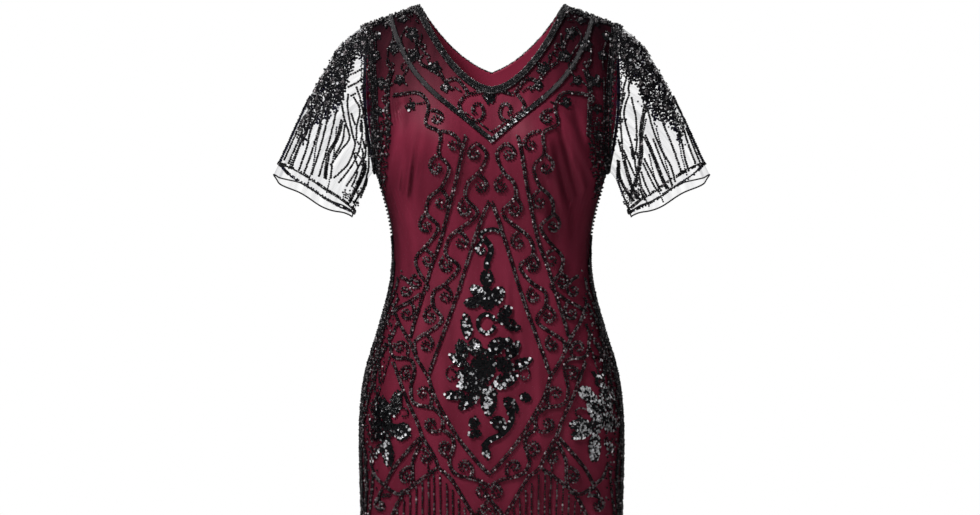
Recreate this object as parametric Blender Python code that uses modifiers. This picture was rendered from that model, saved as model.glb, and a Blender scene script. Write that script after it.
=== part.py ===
"""Beaded V-neck flapper dress, filled out as it is worn, with one solid for each piece that is cut and sewn on.

A burgundy lining carries a black net layer, two sheer net sleeves, and the trims of the neck, yoke and armholes.
Metres, +Z up. The front faces -Y, the wearer's left is +X, and the origin lies midway between the shoulder seams.
"""

import math
from collections import namedtuple

import bmesh
import bpy
from mathutils import Vector

# Half widths and heights of the points that the cut hangs on, from the middle of the shoulders.
NECK_POINT_X, NECK_POINT_Z = 0.1105, 0.0203
SHOULDER_POINT_X, SHOULDER_POINT_Z = 0.190, -0.008
UNDERARM_X, UNDERARM_Z = 0.178, -0.236
HEM_Z = -1.062
SHOULDER_ROLL = 0.050  # height over which the cloth turns over the shoulder
SHOULDER_SLOPE = (NECK_POINT_Z - SHOULDER_POINT_Z) / (SHOULDER_POINT_X - NECK_POINT_X)

# Cloth.
LINING_WALL = 0.0010
NET_WALL = 0.0010
SLEEVE_WALL = 0.0010
TRIM_WALL = 0.0012
LAYER_GAP = 0.0004  # between one layer and the next
SEAM_GAP = 0.0010  # between two pieces that meet edge to edge

# Trims.
NECK_BAND_WIDTH = 0.010
YOKE_TRIM_WIDTH = 0.0065
ARMHOLE_BAND_WIDTH = 0.007

# The mesh.
HALF_COLUMNS = 11  # quads from the middle of a panel to its edge
ARMHOLE_ROWS = 10
SIDE_SEAM_ROWS = 15

# The body's level sections. Above the underarm the half width is where the chest would close, past the armhole.
Section = namedtuple("Section", "height half_width front_depth back_depth")
SECTIONS = (
    Section(0.030, 0.2095, 0.040, 0.050),
    Section(0.000, 0.2090, 0.052, 0.063),
    Section(-0.060, 0.2070, 0.069, 0.083),
    Section(-0.107, 0.2040, 0.083, 0.093),
    Section(-0.150, 0.1990, 0.092, 0.097),
    Section(-0.190, 0.1912, 0.098, 0.097),
    Section(-0.236, 0.1780, 0.101, 0.092),
    Section(-0.280, 0.1643, 0.098, 0.083),
    Section(-0.330, 0.1535, 0.093, 0.072),
    Section(-0.377, 0.1515, 0.091, 0.068),
    Section(-0.420, 0.1570, 0.095, 0.076),
    Section(-0.482, 0.1737, 0.104, 0.099),
    Section(-0.544, 0.1924, 0.112, 0.119),
    Section(-0.600, 0.2004, 0.117, 0.129),
    Section(-0.668, 0.2020, 0.120, 0.133),
    Section(-0.769, 0.2012, 0.121, 0.133),
    Section(-1.062, 0.2045, 0.124, 0.134),
)
ROUNDNESS = 2.3  # exponent of a section's superellipse

# The cut's cups, as soft fullness on the chest.
CUP_X, CUP_Z, CUP_FULLNESS = 0.083, -0.196, 0.025
CUP_SPREAD_X, CUP_SPREAD_UP, CUP_SPREAD_DOWN = 0.056, 0.052, 0.070

# Soft folds: each runs from its top to its foot as a ridge (depth above 0) or a trough (below 0).
Fold = namedtuple("Fold", "top_x top_z foot_x foot_z width depth")
FRONT_FOLDS = (
    Fold(-0.100, -0.150, -0.122, -0.400, 0.022, -0.0060),
    Fold(-0.136, -0.170, -0.148, -0.380, 0.016, 0.0040),
    Fold(0.098, -0.140, 0.140, -0.430, 0.022, -0.0060),
    Fold(0.070, -0.240, 0.104, -0.460, 0.022, 0.0045),
    Fold(-0.052, -0.400, -0.040, -0.640, 0.026, 0.0040),
    Fold(0.046, -0.440, 0.056, -0.700, 0.026, -0.0040),
)
BACK_FOLDS = (
    Fold(-0.092, -0.210, -0.072, -0.450, 0.022, -0.0060),
    Fold(-0.044, -0.270, -0.036, -0.500, 0.024, 0.0040),
    Fold(0.100, -0.190, 0.078, -0.440, 0.022, -0.0060),
    Fold(0.046, -0.280, 0.052, -0.480, 0.024, 0.0040),
)
FLUTES, FLUTE_DEPTH, FLUTE_TOP_Z = 6, 0.007, -0.62  # soft waves round the body that deepen towards the hem

# A panel's two V lines: the height of each point on the centre line, and how curved and how hollow the line is.
Side = namedtuple("Side", "name facing neck_z neck_bow yoke_z armhole_scoop depth folds")
FRONT = Side("front", -1, -0.113, 0.88, -0.190, 0.006, "front_depth", FRONT_FOLDS)
BACK = Side("back", 1, -0.0755, 0.63, -0.158, -0.012, "back_depth", BACK_FOLDS)
YOKE_BOW, UNDERARM_BOW = 0.36, 0.45  # the part of a row's rise that is curved and not straight
NECK_CURL, YOKE_CURL, UNDERARM_CURL = 2.0, 6.0, 2.0  # how far out the curved part sets in, as a power
NECK_BAND_SLANT, YOKE_TRIM_SLANT = 1.22, 1.28  # upright width on the centre line over true width
YOKE_SHOULDER_X = 0.1535  # where the yoke trim's upper edge meets the shoulder seam
UNDERARM_ROW_Z = -0.345  # height on the centre line of the row that ends at the underarm

# The sleeve's cuff is an ellipse that hangs out from the body.
CUFF_CENTRE = Vector((0.2760, -0.002, -0.2750))
CUFF_HALF_WIDTH, CUFF_HALF_DEPTH = 0.0680, 0.047
CUFF_LEAN = math.radians(25.2)  # of the sleeve's line from the plumb line at the cuff
CUFF_RISE = 0.009  # by which the front of the cuff hangs higher, and its back lower
CAP_REACH = 0.68  # how strongly the cap follows the shoulder before it falls
UNDERARM_FALL = -0.35  # slope at which the sleeve leaves the underarm
SLEEVE_GAP, UNDERARM_GAP = 0.0020, 0.0028  # beside the shoulder and under the arm
SLEEVE_RINGS = 8  # quads along the sleeve below its armhole band
Crease = namedtuple("Crease", "turn width depth")
SLEEVE_CREASES = (
    Crease(1.3, 0.40, -0.003),
    Crease(2.2, 0.40, 0.012),
    Crease(4.1, 0.40, 0.012),
    Crease(5.0, 0.40, -0.003),
)

BURGUNDY = (0.17, 0.018, 0.040)
NET_BLACK = (0.012, 0.011, 0.013)
BEAD_BLACK = (0.006, 0.006, 0.007)


def smooth_step(share):
    share = min(max(share, 0.0), 1.0)
    return share * share * (3 - 2 * share)


def section_value(column, height):
    """One column of SECTIONS at any height, on a smooth curve through the rows."""
    rows = SECTIONS
    height = min(max(height, rows[-1].height), rows[0].height)
    at = next(i for i in range(len(rows) - 1) if height >= rows[i + 1].height)
    heights = [row.height for row in rows]
    values = [getattr(row, column) for row in rows]

    def slope(i):
        low, high = max(i - 1, 0), min(i + 1, len(rows) - 1)
        return (values[high] - values[low]) / (heights[high] - heights[low])

    span = heights[at + 1] - heights[at]
    s = (height - heights[at]) / span
    return (
        values[at] * (1 + 2 * s) * (1 - s) ** 2
        + slope(at) * span * s * (1 - s) ** 2
        + values[at + 1] * s * s * (3 - 2 * s)
        + slope(at + 1) * span * s * s * (s - 1)
    )


def shoulder_height(x):
    return NECK_POINT_Z - SHOULDER_SLOPE * (abs(x) - NECK_POINT_X)


def cup_fullness(x, z):
    spread_z = CUP_SPREAD_UP if z > CUP_Z else CUP_SPREAD_DOWN
    upright = math.exp(-(((z - CUP_Z) / spread_z) ** 2))
    across = sum(math.exp(-(((x - side * CUP_X) / CUP_SPREAD_X) ** 2)) for side in (-1, 1))
    return CUP_FULLNESS * upright * across


def fold_relief(x, z, folds):
    """How far the folds lift or sink the cloth at this place."""
    relief = 0.0
    for fold in folds:
        along = (z - fold.top_z) / (fold.foot_z - fold.top_z)
        if 0 < along < 1:
            off = x - (fold.top_x + (fold.foot_x - fold.top_x) * along)
            fade = math.sin(math.pi * along) ** 0.8
            relief += fold.depth * fade * math.exp(-((off / fold.width) ** 2))
    return relief


def body_point(side, x, z):
    """The point of a panel's outer lining surface at this place in the front view."""
    half_width = section_value("half_width", z)
    spread = min(abs(x) / half_width, 1.0)
    closing = (1 - spread**ROUNDNESS) ** (1 / ROUNDNESS)
    drop = shoulder_height(x) - z
    roll = math.sqrt(1 - (1 - min(max(drop / SHOULDER_ROLL, 0.0), 1.0)) ** 2)
    depth = section_value(side.depth, z) * closing * roll
    if side is FRONT:
        depth += cup_fullness(x, z) * closing
    depth += fold_relief(x, z, side.folds) * closing
    angle = math.asin(spread) * (1 if x > 0 else -1)
    fall = smooth_step((z - FLUTE_TOP_Z) / (HEM_Z - FLUTE_TOP_Z))
    swell = 1 + FLUTE_DEPTH * fall * math.cos(FLUTES * angle) / half_width
    return Vector((x * swell, side.facing * depth * swell, z))


Row = namedtuple("Row", "centre_z outer_x outer_z bow curl")


def between(low, high, share):
    return low + (high - low) * share


def panel_rows(side):
    """The rows of a panel, from its neckline to its hem. Each runs from the centre line to the panel's edge."""
    rows = []
    band_foot = side.neck_z - NECK_BAND_WIDTH * NECK_BAND_SLANT
    trim_foot = side.yoke_z - YOKE_TRIM_WIDTH * YOKE_TRIM_SLANT
    trim_foot_x = YOKE_SHOULDER_X + YOKE_TRIM_WIDTH

    def on_shoulder(centre_z, x, yoke_share):
        bow, curl = between(side.neck_bow, YOKE_BOW, yoke_share), between(NECK_CURL, YOKE_CURL, yoke_share)
        rows.append(Row(centre_z, x, shoulder_height(x), bow, curl))

    on_shoulder(side.neck_z, NECK_POINT_X, 0)
    on_shoulder(band_foot, NECK_POINT_X + NECK_BAND_WIDTH, 0)
    for share in (1 / 3, 2 / 3):
        x = between(NECK_POINT_X + NECK_BAND_WIDTH, YOKE_SHOULDER_X, share)
        on_shoulder(between(band_foot, side.yoke_z, share), x, share)
    on_shoulder(side.yoke_z, YOKE_SHOULDER_X, 1)
    on_shoulder(trim_foot, trim_foot_x, 1)
    shoulder_row_z = between(trim_foot, UNDERARM_ROW_Z, 2 / (ARMHOLE_ROWS + 2))
    on_shoulder(between(trim_foot, shoulder_row_z, 0.5), between(trim_foot_x, SHOULDER_POINT_X, 0.5), 1)
    for step in range(ARMHOLE_ROWS + 1):
        share = step / ARMHOLE_ROWS
        fall = (1 - math.cos(math.pi * share)) / 2
        x = between(SHOULDER_POINT_X, UNDERARM_X, fall) - side.armhole_scoop * math.sin(math.pi * fall)
        z = between(SHOULDER_POINT_Z, UNDERARM_Z, fall)
        centre_z = between(shoulder_row_z, UNDERARM_ROW_Z, share)
        bow, curl = between(YOKE_BOW, UNDERARM_BOW, share), between(YOKE_CURL, UNDERARM_CURL, share)
        rows.append(Row(centre_z, x, z, bow, curl))
    for step in range(1, SIDE_SEAM_ROWS + 1):
        share = step / SIDE_SEAM_ROWS
        z = between(UNDERARM_Z, HEM_Z, share)
        centre_z = between(UNDERARM_ROW_Z, HEM_Z, share)
        rows.append(Row(centre_z, section_value("half_width", z), z, UNDERARM_BOW, UNDERARM_CURL))
    return rows


YOKE_ROW = 4  # the row that is the yoke trim's upper edge
SHOULDER_ROW = 7  # the row that ends at the shoulder point
UNDERARM_ROW = SHOULDER_ROW + ARMHOLE_ROWS


def panel_grid(side):
    """Rows of points across the whole panel, from the wearer's right edge to the left edge."""
    grid = []
    for row in panel_rows(side):
        points = []
        for column in range(-HALF_COLUMNS, HALF_COLUMNS + 1):
            share = math.sin(math.pi / 2 * abs(column) / HALF_COLUMNS)
            rise = (1 - row.bow) * share + row.bow * share**row.curl
            z = between(row.centre_z, row.outer_z, rise)
            x = math.copysign(row.outer_x * share, column)
            point = body_point(side, x, z)
            on_seam = row.outer_x >= NECK_POINT_X and abs(column) == HALF_COLUMNS
            if on_seam and abs(point.y) < SEAM_GAP / 2:
                point.y = side.facing * SEAM_GAP / 2
            points.append(point)
        grid.append(points)
    return grid


def surface(name, grid, closed=False):
    """An open mesh through rows of points. A closed one joins the last column to the first.

    Every layer of a panel is cut into the same triangles, mirrored about its middle, so that no layer crosses the next.
    """
    mesh = bpy.data.meshes.new(name)
    shape = bmesh.new()
    rows = [[shape.verts.new(point) for point in row] for row in grid]
    for upper, lower in zip(rows, rows[1:]):
        columns = len(upper)
        for i in range(columns if closed else columns - 1):
            following = (i + 1) % columns
            if i < columns // 2:
                shape.faces.new((upper[i], lower[i], lower[following]))
                shape.faces.new((upper[i], lower[following], upper[following]))
            else:
                shape.faces.new((upper[i], lower[i], upper[following]))
                shape.faces.new((lower[i], lower[following], upper[following]))
    shape.normal_update()
    shape.to_mesh(mesh)
    shape.free()
    return mesh


def outward_grid(grid, outward, distance, closed=False):
    """The same rows of points, moved out along the surface's normals."""
    mesh = surface("measure", grid, closed)
    columns = len(grid[0])
    moved = [
        [
            Vector(vertex.co) + Vector(vertex.normal) * outward * distance
            for vertex in mesh.vertices[start : start + columns]
        ]
        for start in range(0, len(mesh.vertices), columns)
    ]
    bpy.data.meshes.remove(mesh)
    return moved


def material(name, colour, roughness, alpha=1.0):
    made = bpy.data.materials.new(name)
    made.use_nodes = True
    shader = made.node_tree.nodes["Principled BSDF"]
    shader.inputs["Base Color"].default_value = (*colour, 1.0)
    shader.inputs["Roughness"].default_value = roughness
    shader.inputs["Alpha"].default_value = alpha
    return made


def cloth(name, grid, outward, thickness, finish, collection, closed=False):
    """A cloth wall on rows of points, with its thickness on the side that outward gives: 1 out, -1 in."""
    mesh = surface(name, grid, closed)
    if grid_faces_in(mesh, grid):
        mesh.flip_normals()
    made = bpy.data.objects.new(name, mesh)
    collection.objects.link(made)
    made.data.materials.append(finish)
    wall = made.modifiers.new("Wall", "SOLIDIFY")
    wall.thickness = thickness
    wall.offset = outward
    wall.use_even_offset = False
    mesh.shade_smooth()
    return made


def grid_faces_in(mesh, grid):
    """True if the faces look at the middle of the rows, which lies inside the body or the sleeve."""
    points = [point for row in grid for point in row]
    middle = sum(points, Vector()) / len(points)
    inside = Vector((middle.x, 0.0, middle.z))
    faces = mesh.polygons
    return sum((Vector(f.center) - inside).dot(Vector(f.normal)) * f.area for f in faces) < 0


def panel_outward(side):
    """The sign that turns a panel surface's normals outward."""
    return 1 if side is FRONT else -1


def armhole_loop(front_grid, back_grid):
    """The wearer's left armhole, from the shoulder down the front, under the arm and up the back."""
    rows = range(SHOULDER_ROW, UNDERARM_ROW + 1)
    front = [front_grid[row][-1] for row in rows]
    back = [back_grid[row][-1] for row in rows]
    top, foot = (front[0] + back[0]) / 2, (front[-1] + back[-1]) / 2
    return [top, *front[1:-1], foot, *reversed(back[1:-1])]


def sleeve_point(armhole, turn, share):
    """A point of the wearer's left sleeve. Turn goes once round from the top, and share from armhole to cuff."""
    cosine, sine = math.cos(turn), math.sin(turn)
    across = Vector((math.cos(CUFF_LEAN), 0.0, math.sin(CUFF_LEAN)))
    cuff = CUFF_CENTRE + across * CUFF_HALF_WIDTH * cosine
    cuff += Vector((0.0, -CUFF_HALF_DEPTH * sine, CUFF_RISE * sine))
    under = (1 - cosine) / 2
    start = armhole + Vector((between(SLEEVE_GAP, UNDERARM_GAP, under), 0.0, 0.0))
    chord = (cuff - start).length
    leaving = Vector((1.0, -0.2 * sine, between(-SHOULDER_SLOPE, UNDERARM_FALL, under))).normalized()
    arriving = Vector((math.sin(CUFF_LEAN), 0.0, -math.cos(CUFF_LEAN)))
    curve = (start, start + leaving * chord * CAP_REACH / 3, cuff - arriving * chord / 3, cuff)
    weights = ((1 - share) ** 3, 3 * share * (1 - share) ** 2, 3 * share**2 * (1 - share), share**3)
    point = sum((place * weight for place, weight in zip(curve, weights)), Vector())
    crease = sum(fold.depth * math.exp(-(((turn - fold.turn) / fold.width) ** 2)) for fold in SLEEVE_CREASES)
    point.y += crease * sine * math.sin(math.pi * share) ** 0.7
    return point


def sleeve_grid(armhole):
    """Rings of points from the armhole to the cuff of the wearer's left sleeve. The first strips are its band's."""
    columns = []
    for i, place in enumerate(armhole):
        turn = 2 * math.pi * i / len(armhole)
        band_end = ARMHOLE_BAND_WIDTH / (sleeve_point(place, turn, 1.0) - place).length
        shares = [0.0, band_end / 2, band_end]
        shares += [between(band_end, 1.0, step / SLEEVE_RINGS) for step in range(1, SLEEVE_RINGS + 1)]
        columns.append([sleeve_point(place, turn, share) for share in shares])
    return list(zip(*columns))


def mirrored(grid):
    return [[Vector((-point.x, point.y, point.z)) for point in row] for row in grid]


def clear_scene():
    for existing in list(bpy.data.objects):
        bpy.data.objects.remove(existing)


def build():
    clear_scene()
    dress = bpy.data.collections.new("flapper_dress")
    bpy.context.scene.collection.children.link(dress)
    lining_cloth = material("burgundy_lining", BURGUNDY, 0.55)
    net_cloth = material("black_net", NET_BLACK, 0.8, alpha=0.45)
    beadwork = material("black_beadwork", BEAD_BLACK, 0.3)

    grids = {side.name: panel_grid(side) for side in (FRONT, BACK)}
    for side in (FRONT, BACK):
        grid = grids[side.name]
        outward = panel_outward(side)
        cloth(f"lining_{side.name}", grid, -1, LINING_WALL, lining_cloth, dress)
        net = outward_grid(grid, outward, LAYER_GAP)
        cloth(f"net_{side.name}", net, 1, NET_WALL, net_cloth, dress)
        above_net = outward_grid(grid, outward, LAYER_GAP + NET_WALL + LAYER_GAP)
        cloth(f"neck_band_{side.name}", above_net[:2], 1, TRIM_WALL, beadwork, dress)
        cloth(f"yoke_trim_{side.name}", above_net[YOKE_ROW : YOKE_ROW + 2], 1, TRIM_WALL, beadwork, dress)

    left_sleeve = sleeve_grid(armhole_loop(grids["front"], grids["back"]))
    for name, rings, outward in (("left", left_sleeve, -1), ("right", mirrored(left_sleeve), 1)):
        cloth(f"sleeve_{name}", rings, -1, SLEEVE_WALL, net_cloth, dress, closed=True)
        band = outward_grid(rings, outward, LAYER_GAP, closed=True)[:3]
        cloth(f"armhole_band_{name}", band, 1, TRIM_WALL, beadwork, dress, closed=True)


build()
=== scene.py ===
import math

import bpy
import numpy as np
from mathutils import Matrix, Vector


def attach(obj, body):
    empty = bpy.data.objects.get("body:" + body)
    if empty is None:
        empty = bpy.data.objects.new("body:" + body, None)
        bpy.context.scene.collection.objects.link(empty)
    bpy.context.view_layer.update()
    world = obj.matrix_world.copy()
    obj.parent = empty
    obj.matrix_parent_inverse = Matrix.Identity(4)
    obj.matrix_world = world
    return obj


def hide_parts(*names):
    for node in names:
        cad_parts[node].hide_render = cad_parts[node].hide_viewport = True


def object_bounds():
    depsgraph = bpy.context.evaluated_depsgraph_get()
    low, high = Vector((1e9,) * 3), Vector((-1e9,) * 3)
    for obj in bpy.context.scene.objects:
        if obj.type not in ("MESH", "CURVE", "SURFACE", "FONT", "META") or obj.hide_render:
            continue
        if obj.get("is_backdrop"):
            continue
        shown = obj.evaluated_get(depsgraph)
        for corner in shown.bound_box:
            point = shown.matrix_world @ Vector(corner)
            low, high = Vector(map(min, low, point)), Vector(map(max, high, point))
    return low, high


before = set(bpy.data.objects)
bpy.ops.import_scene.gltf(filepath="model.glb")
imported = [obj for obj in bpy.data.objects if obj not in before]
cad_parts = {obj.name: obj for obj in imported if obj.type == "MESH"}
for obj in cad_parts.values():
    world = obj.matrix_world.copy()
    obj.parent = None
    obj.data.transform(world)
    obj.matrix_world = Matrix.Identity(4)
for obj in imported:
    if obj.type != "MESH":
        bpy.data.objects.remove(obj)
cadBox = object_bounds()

chance = np.random.default_rng(7)

# the dress's form, in metres from the middle of the shoulders, front towards -Y
cut = {
    "neckX": 0.1105, "neckZ": 0.0203,
    "shoulderX": 0.190, "shoulderZ": -0.008,
    "underarmX": 0.178, "underarmZ": -0.236,
    "hemZ": -1.062,
    "shoulderRoll": 0.050,
    "roundness": 2.3,
    "neckBand": 0.010, "yokeTrim": 0.0065, "armholeBand": 0.007,
    "yokeBow": (0.36, 6.0), "underarmBow": (0.45, 2.0),
    "bandSlant": 1.22, "trimSlant": 1.28,
    "yokeX": 0.1535, "underarmRowZ": -0.345, "shoulderRow": 2 / 12,
    "flutes": 6, "fluteDepth": 0.007, "fluteTop": -0.62,
    "cupX": 0.083, "cupZ": -0.196, "cupFullness": 0.025,
    "cupWide": 0.056, "cupUp": 0.052, "cupDown": 0.070,
    "seamLap": 0.0004,  # front and back lap a little in the seams
}
cut["slope"] = (cut["neckZ"] - cut["shoulderZ"]) / (cut["shoulderX"] - cut["neckX"])

sections = {  # level cuts through the body, from the neck down
    "height": [0.030, 0.0, -0.060, -0.107, -0.150, -0.190, -0.236, -0.280, -0.330, -0.377, -0.420, -0.482, -0.544,
               -0.600, -0.668, -0.769, -1.062],
    "halfWidth": [0.2095, 0.2090, 0.2070, 0.2040, 0.1990, 0.1912, 0.1780, 0.1643, 0.1535, 0.1515, 0.1570, 0.1737,
                  0.1924, 0.2004, 0.2020, 0.2012, 0.2045],
    "frontDepth": [0.040, 0.052, 0.069, 0.083, 0.092, 0.098, 0.101, 0.098, 0.093, 0.091, 0.095, 0.104, 0.112, 0.117,
                   0.120, 0.121, 0.124],
    "backDepth": [0.050, 0.063, 0.083, 0.093, 0.097, 0.097, 0.092, 0.083, 0.072, 0.068, 0.076, 0.099, 0.119, 0.129,
                  0.133, 0.133, 0.134],
}
sections = {key: np.array(values) for key, values in sections.items()}

# each fold runs from its top to its foot: top x, top z, foot x, foot z, width, lift
frontFolds = [
    (-0.100, -0.150, -0.122, -0.400, 0.022, -0.0060),
    (-0.136, -0.170, -0.148, -0.380, 0.016, 0.0040),
    (0.098, -0.140, 0.140, -0.430, 0.022, -0.0060),
    (0.070, -0.240, 0.104, -0.460, 0.022, 0.0045),
    (-0.052, -0.400, -0.040, -0.640, 0.026, 0.0040),
    (0.046, -0.440, 0.056, -0.700, 0.026, -0.0040),
]
backFolds = [
    (-0.092, -0.210, -0.072, -0.450, 0.022, -0.0060),
    (-0.044, -0.270, -0.036, -0.500, 0.024, 0.0040),
    (0.100, -0.190, 0.078, -0.440, 0.022, -0.0060),
    (0.046, -0.280, 0.052, -0.480, 0.024, 0.0040),
]
frontCreases = [  # finer creases
    (-0.126, -0.134, -0.158, -0.158, 0.0050, -0.0075),
    (-0.150, -0.150, -0.168, -0.232, 0.0045, -0.0051),
    (-0.136, -0.160, -0.162, -0.250, 0.0042, 0.0060),
    (-0.130, -0.212, -0.148, -0.300, 0.0038, 0.0057),
    (-0.128, -0.200, -0.142, -0.300, 0.0038, -0.0060),
    (-0.116, -0.190, -0.132, -0.300, 0.0038, 0.0054),
    (-0.112, -0.200, -0.128, -0.305, 0.0036, -0.0060),
    (-0.107, -0.198, -0.122, -0.310, 0.0038, 0.0057),
    (-0.103, -0.210, -0.128, -0.325, 0.0046, -0.0069),
    (-0.108, -0.240, -0.140, -0.390, 0.0060, 0.0045),
    (0.096, -0.158, 0.141, -0.310, 0.0040, -0.0066),
    (0.093, -0.200, 0.129, -0.320, 0.0056, -0.0075),
    (0.106, -0.150, 0.159, -0.256, 0.0046, 0.0060),
    (0.099, -0.216, 0.131, -0.310, 0.0040, 0.0051),
    (0.131, -0.230, 0.152, -0.305, 0.0046, 0.0051),
    (0.122, -0.146, 0.141, -0.190, 0.0050, -0.0054),
    (0.078, -0.180, 0.130, -0.380, 0.0070, 0.0051),
    (0.070, -0.200, 0.108, -0.400, 0.0060, -0.0051),
    (-0.060, -0.460, -0.034, -0.640, 0.0080, -0.0030),
    (0.030, -0.400, 0.040, -0.560, 0.0050, -0.0023),
    (0.018, -0.390, 0.022, -0.480, 0.0040, -0.0019),
    (-0.014, -0.340, -0.018, -0.420, 0.0040, -0.0019),
    (0.068, -0.500, 0.076, -0.660, 0.0070, 0.0027),
    (-0.092, -0.660, -0.094, -1.000, 0.0050, -0.0038),
    (-0.073, -0.680, -0.071, -1.020, 0.0060, 0.0030),
    (0.062, -0.670, 0.064, -1.000, 0.0060, 0.0034),
    (0.084, -0.670, 0.088, -1.010, 0.0050, -0.0038),
    (0.006, -0.720, 0.002, -1.040, 0.0080, -0.0030),
]
backCreases = [
    (-0.106, -0.200, -0.082, -0.420, 0.0065, -0.0024),
    (-0.076, -0.240, -0.062, -0.470, 0.0065, -0.0020),
    (-0.012, -0.300, -0.008, -0.420, 0.0060, 0.0014),
    (0.112, -0.180, 0.088, -0.410, 0.0065, -0.0026),
    (0.084, -0.240, 0.066, -0.480, 0.0060, 0.0018),
    (0.022, -0.330, 0.028, -0.470, 0.0070, -0.0016),
    (-0.120, -0.650, -0.124, -1.000, 0.0070, -0.0018),
    (0.052, -0.640, 0.058, -1.020, 0.0080, 0.0018),
    (0.104, -0.680, 0.102, -1.000, 0.0060, -0.0016),
]
front = {
    "name": "front", "facing": -1, "depth": "frontDepth", "neckZ": -0.113, "neckBow": (0.88, 2.0), "yokeZ": -0.190,
    "scoop": 0.006, "folds": frontFolds + frontCreases, "cups": 1.0, "halfColumns": 92}
back = {
    "name": "back", "facing": 1, "depth": "backDepth", "neckZ": -0.0755, "neckBow": (0.63, 2.0), "yokeZ": -0.158,
    "scoop": -0.012, "folds": backFolds + backCreases, "cups": 0.0, "halfColumns": 34}
panelSteps = {"yoke": (4, 14, 3, 8), "armhole": 22, "side": 54}  # rows of points down each panel


def smoothStep(share):
    share = np.clip(share, 0.0, 1.0)
    return share * share * (3 - 2 * share)


def mix(low, high, share):
    return low + (high - low) * share


def sectionValue(column, z):
    heights, values = sections["height"], sections[column]
    z = np.clip(z, heights[-1], heights[0])
    at = np.clip(np.searchsorted(-heights, -z, side="right") - 1, 0, len(heights) - 2)

    def slope(i):
        low, high = np.maximum(i - 1, 0), np.minimum(i + 1, len(heights) - 1)
        return (values[high] - values[low]) / (heights[high] - heights[low])

    span = heights[at + 1] - heights[at]
    s = (z - heights[at]) / span
    value = values[at] * (1 + 2 * s) * (1 - s) ** 2 + slope(at) * span * s * (1 - s) ** 2
    return value + values[at + 1] * s * s * (3 - 2 * s) + slope(at + 1) * span * s * s * (s - 1)


def shoulderHeight(x):
    return cut["neckZ"] - cut["slope"] * (np.abs(x) - cut["neckX"])


def bodyPoint(side, x, z):
    halfWidth = sectionValue("halfWidth", z)
    spread = np.minimum(np.abs(x) / halfWidth, 1.0)
    closing = (1 - spread ** cut["roundness"]) ** (1 / cut["roundness"])
    drop = shoulderHeight(x) - z
    roll = np.sqrt(1 - (1 - np.clip(drop / cut["shoulderRoll"], 0.0, 1.0)) ** 2)
    depth = sectionValue(side["depth"], z) * roll
    tall = np.where(z > cut["cupZ"], cut["cupUp"], cut["cupDown"])
    cups = np.exp(-(((z - cut["cupZ"]) / tall) ** 2)) * sum(
        np.exp(-(((x - cut["cupX"] * s) / cut["cupWide"]) ** 2)) for s in (-1, 1))
    depth = depth + side["cups"] * cut["cupFullness"] * cups
    for topX, topZ, footX, footZ, width, lift in side["folds"]:
        along = np.clip((z - topZ) / (footZ - topZ), 0.0, 1.0)
        off = x - (topX + (footX - topX) * along)
        depth = depth + lift * np.sin(np.pi * along) ** 0.8 * np.exp(-((off / width) ** 2))
    depth = depth * closing
    angle = np.arcsin(spread) * np.sign(x)
    fall = smoothStep((z - cut["fluteTop"]) / (cut["hemZ"] - cut["fluteTop"]))
    swell = 1 + cut["fluteDepth"] * fall * np.cos(cut["flutes"] * angle) / halfWidth
    return np.stack([x * swell, side["facing"] * depth * swell, z + 0 * x], axis=-1)


def unit(vectors):
    return vectors / np.maximum(np.linalg.norm(vectors, axis=-1, keepdims=True), 1e-12)


def bodyNormal(side, x, z):
    turnStep, heightStep, seamTurn = 0.012, 0.0012, 1.5707
    turn = np.arcsin(np.clip(x / sectionValue("halfWidth", z), -0.9995, 0.9995))

    def place(t, h):
        return bodyPoint(side, sectionValue("halfWidth", h) * np.sin(t), h)

    across = place(np.minimum(turn + turnStep, seamTurn), z) - place(np.maximum(turn - turnStep, -seamTurn), z)
    upright = place(turn, z + heightStep) - place(turn, z - heightStep)
    return unit(np.cross(across, upright)) * -side["facing"]


def armholeEdge(side, share):
    fall = (1 - np.cos(np.pi * share)) / 2
    x = mix(cut["shoulderX"], cut["underarmX"], fall) - side["scoop"] * np.sin(np.pi * fall)
    return x, mix(cut["shoulderZ"], cut["underarmZ"], fall)


def rowBow(upper, lower, share):
    return mix(upper[0], lower[0], share), mix(upper[1], lower[1], share)


def panelRows(side):
    # the rows from the neck to the hem: height at the middle, outer x, outer height and the bow between them
    bandFoot = side["neckZ"] - cut["neckBand"] * cut["bandSlant"]
    trimFoot = side["yokeZ"] - cut["yokeTrim"] * cut["trimSlant"]
    shoulderRow = mix(trimFoot, cut["underarmRowZ"], cut["shoulderRow"])
    marks = [
        (side["neckZ"], cut["neckX"], side["neckBow"]),
        (bandFoot, cut["neckX"] + cut["neckBand"], side["neckBow"]),
        (side["yokeZ"], cut["yokeX"], cut["yokeBow"]),
        (trimFoot, cut["yokeX"] + cut["yokeTrim"], cut["yokeBow"]),
        (shoulderRow, cut["shoulderX"], cut["yokeBow"]),
    ]
    rows = []
    for upper, lower, count in zip(marks, marks[1:], panelSteps["yoke"]):
        for k in range(count):
            centre, x = (mix(a, b, k / count) for a, b in zip(upper[:2], lower[:2]))
            rows.append((centre, x, shoulderHeight(x), *rowBow(upper[2], lower[2], k / count)))
    for k in range(panelSteps["armhole"] + 1):
        share = k / panelSteps["armhole"]
        x, z = armholeEdge(side, share)
        bow = rowBow(cut["yokeBow"], cut["underarmBow"], share)
        rows.append((mix(shoulderRow, cut["underarmRowZ"], share), x, z, *bow))
    for k in range(1, panelSteps["side"] + 1):
        share = k / panelSteps["side"]
        z = mix(cut["underarmZ"], cut["hemZ"], share)
        centre, x = mix(cut["underarmRowZ"], cut["hemZ"], share), float(sectionValue("halfWidth", z))
        rows.append((centre, x, z, *cut["underarmBow"]))
    return np.array(rows)


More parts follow.
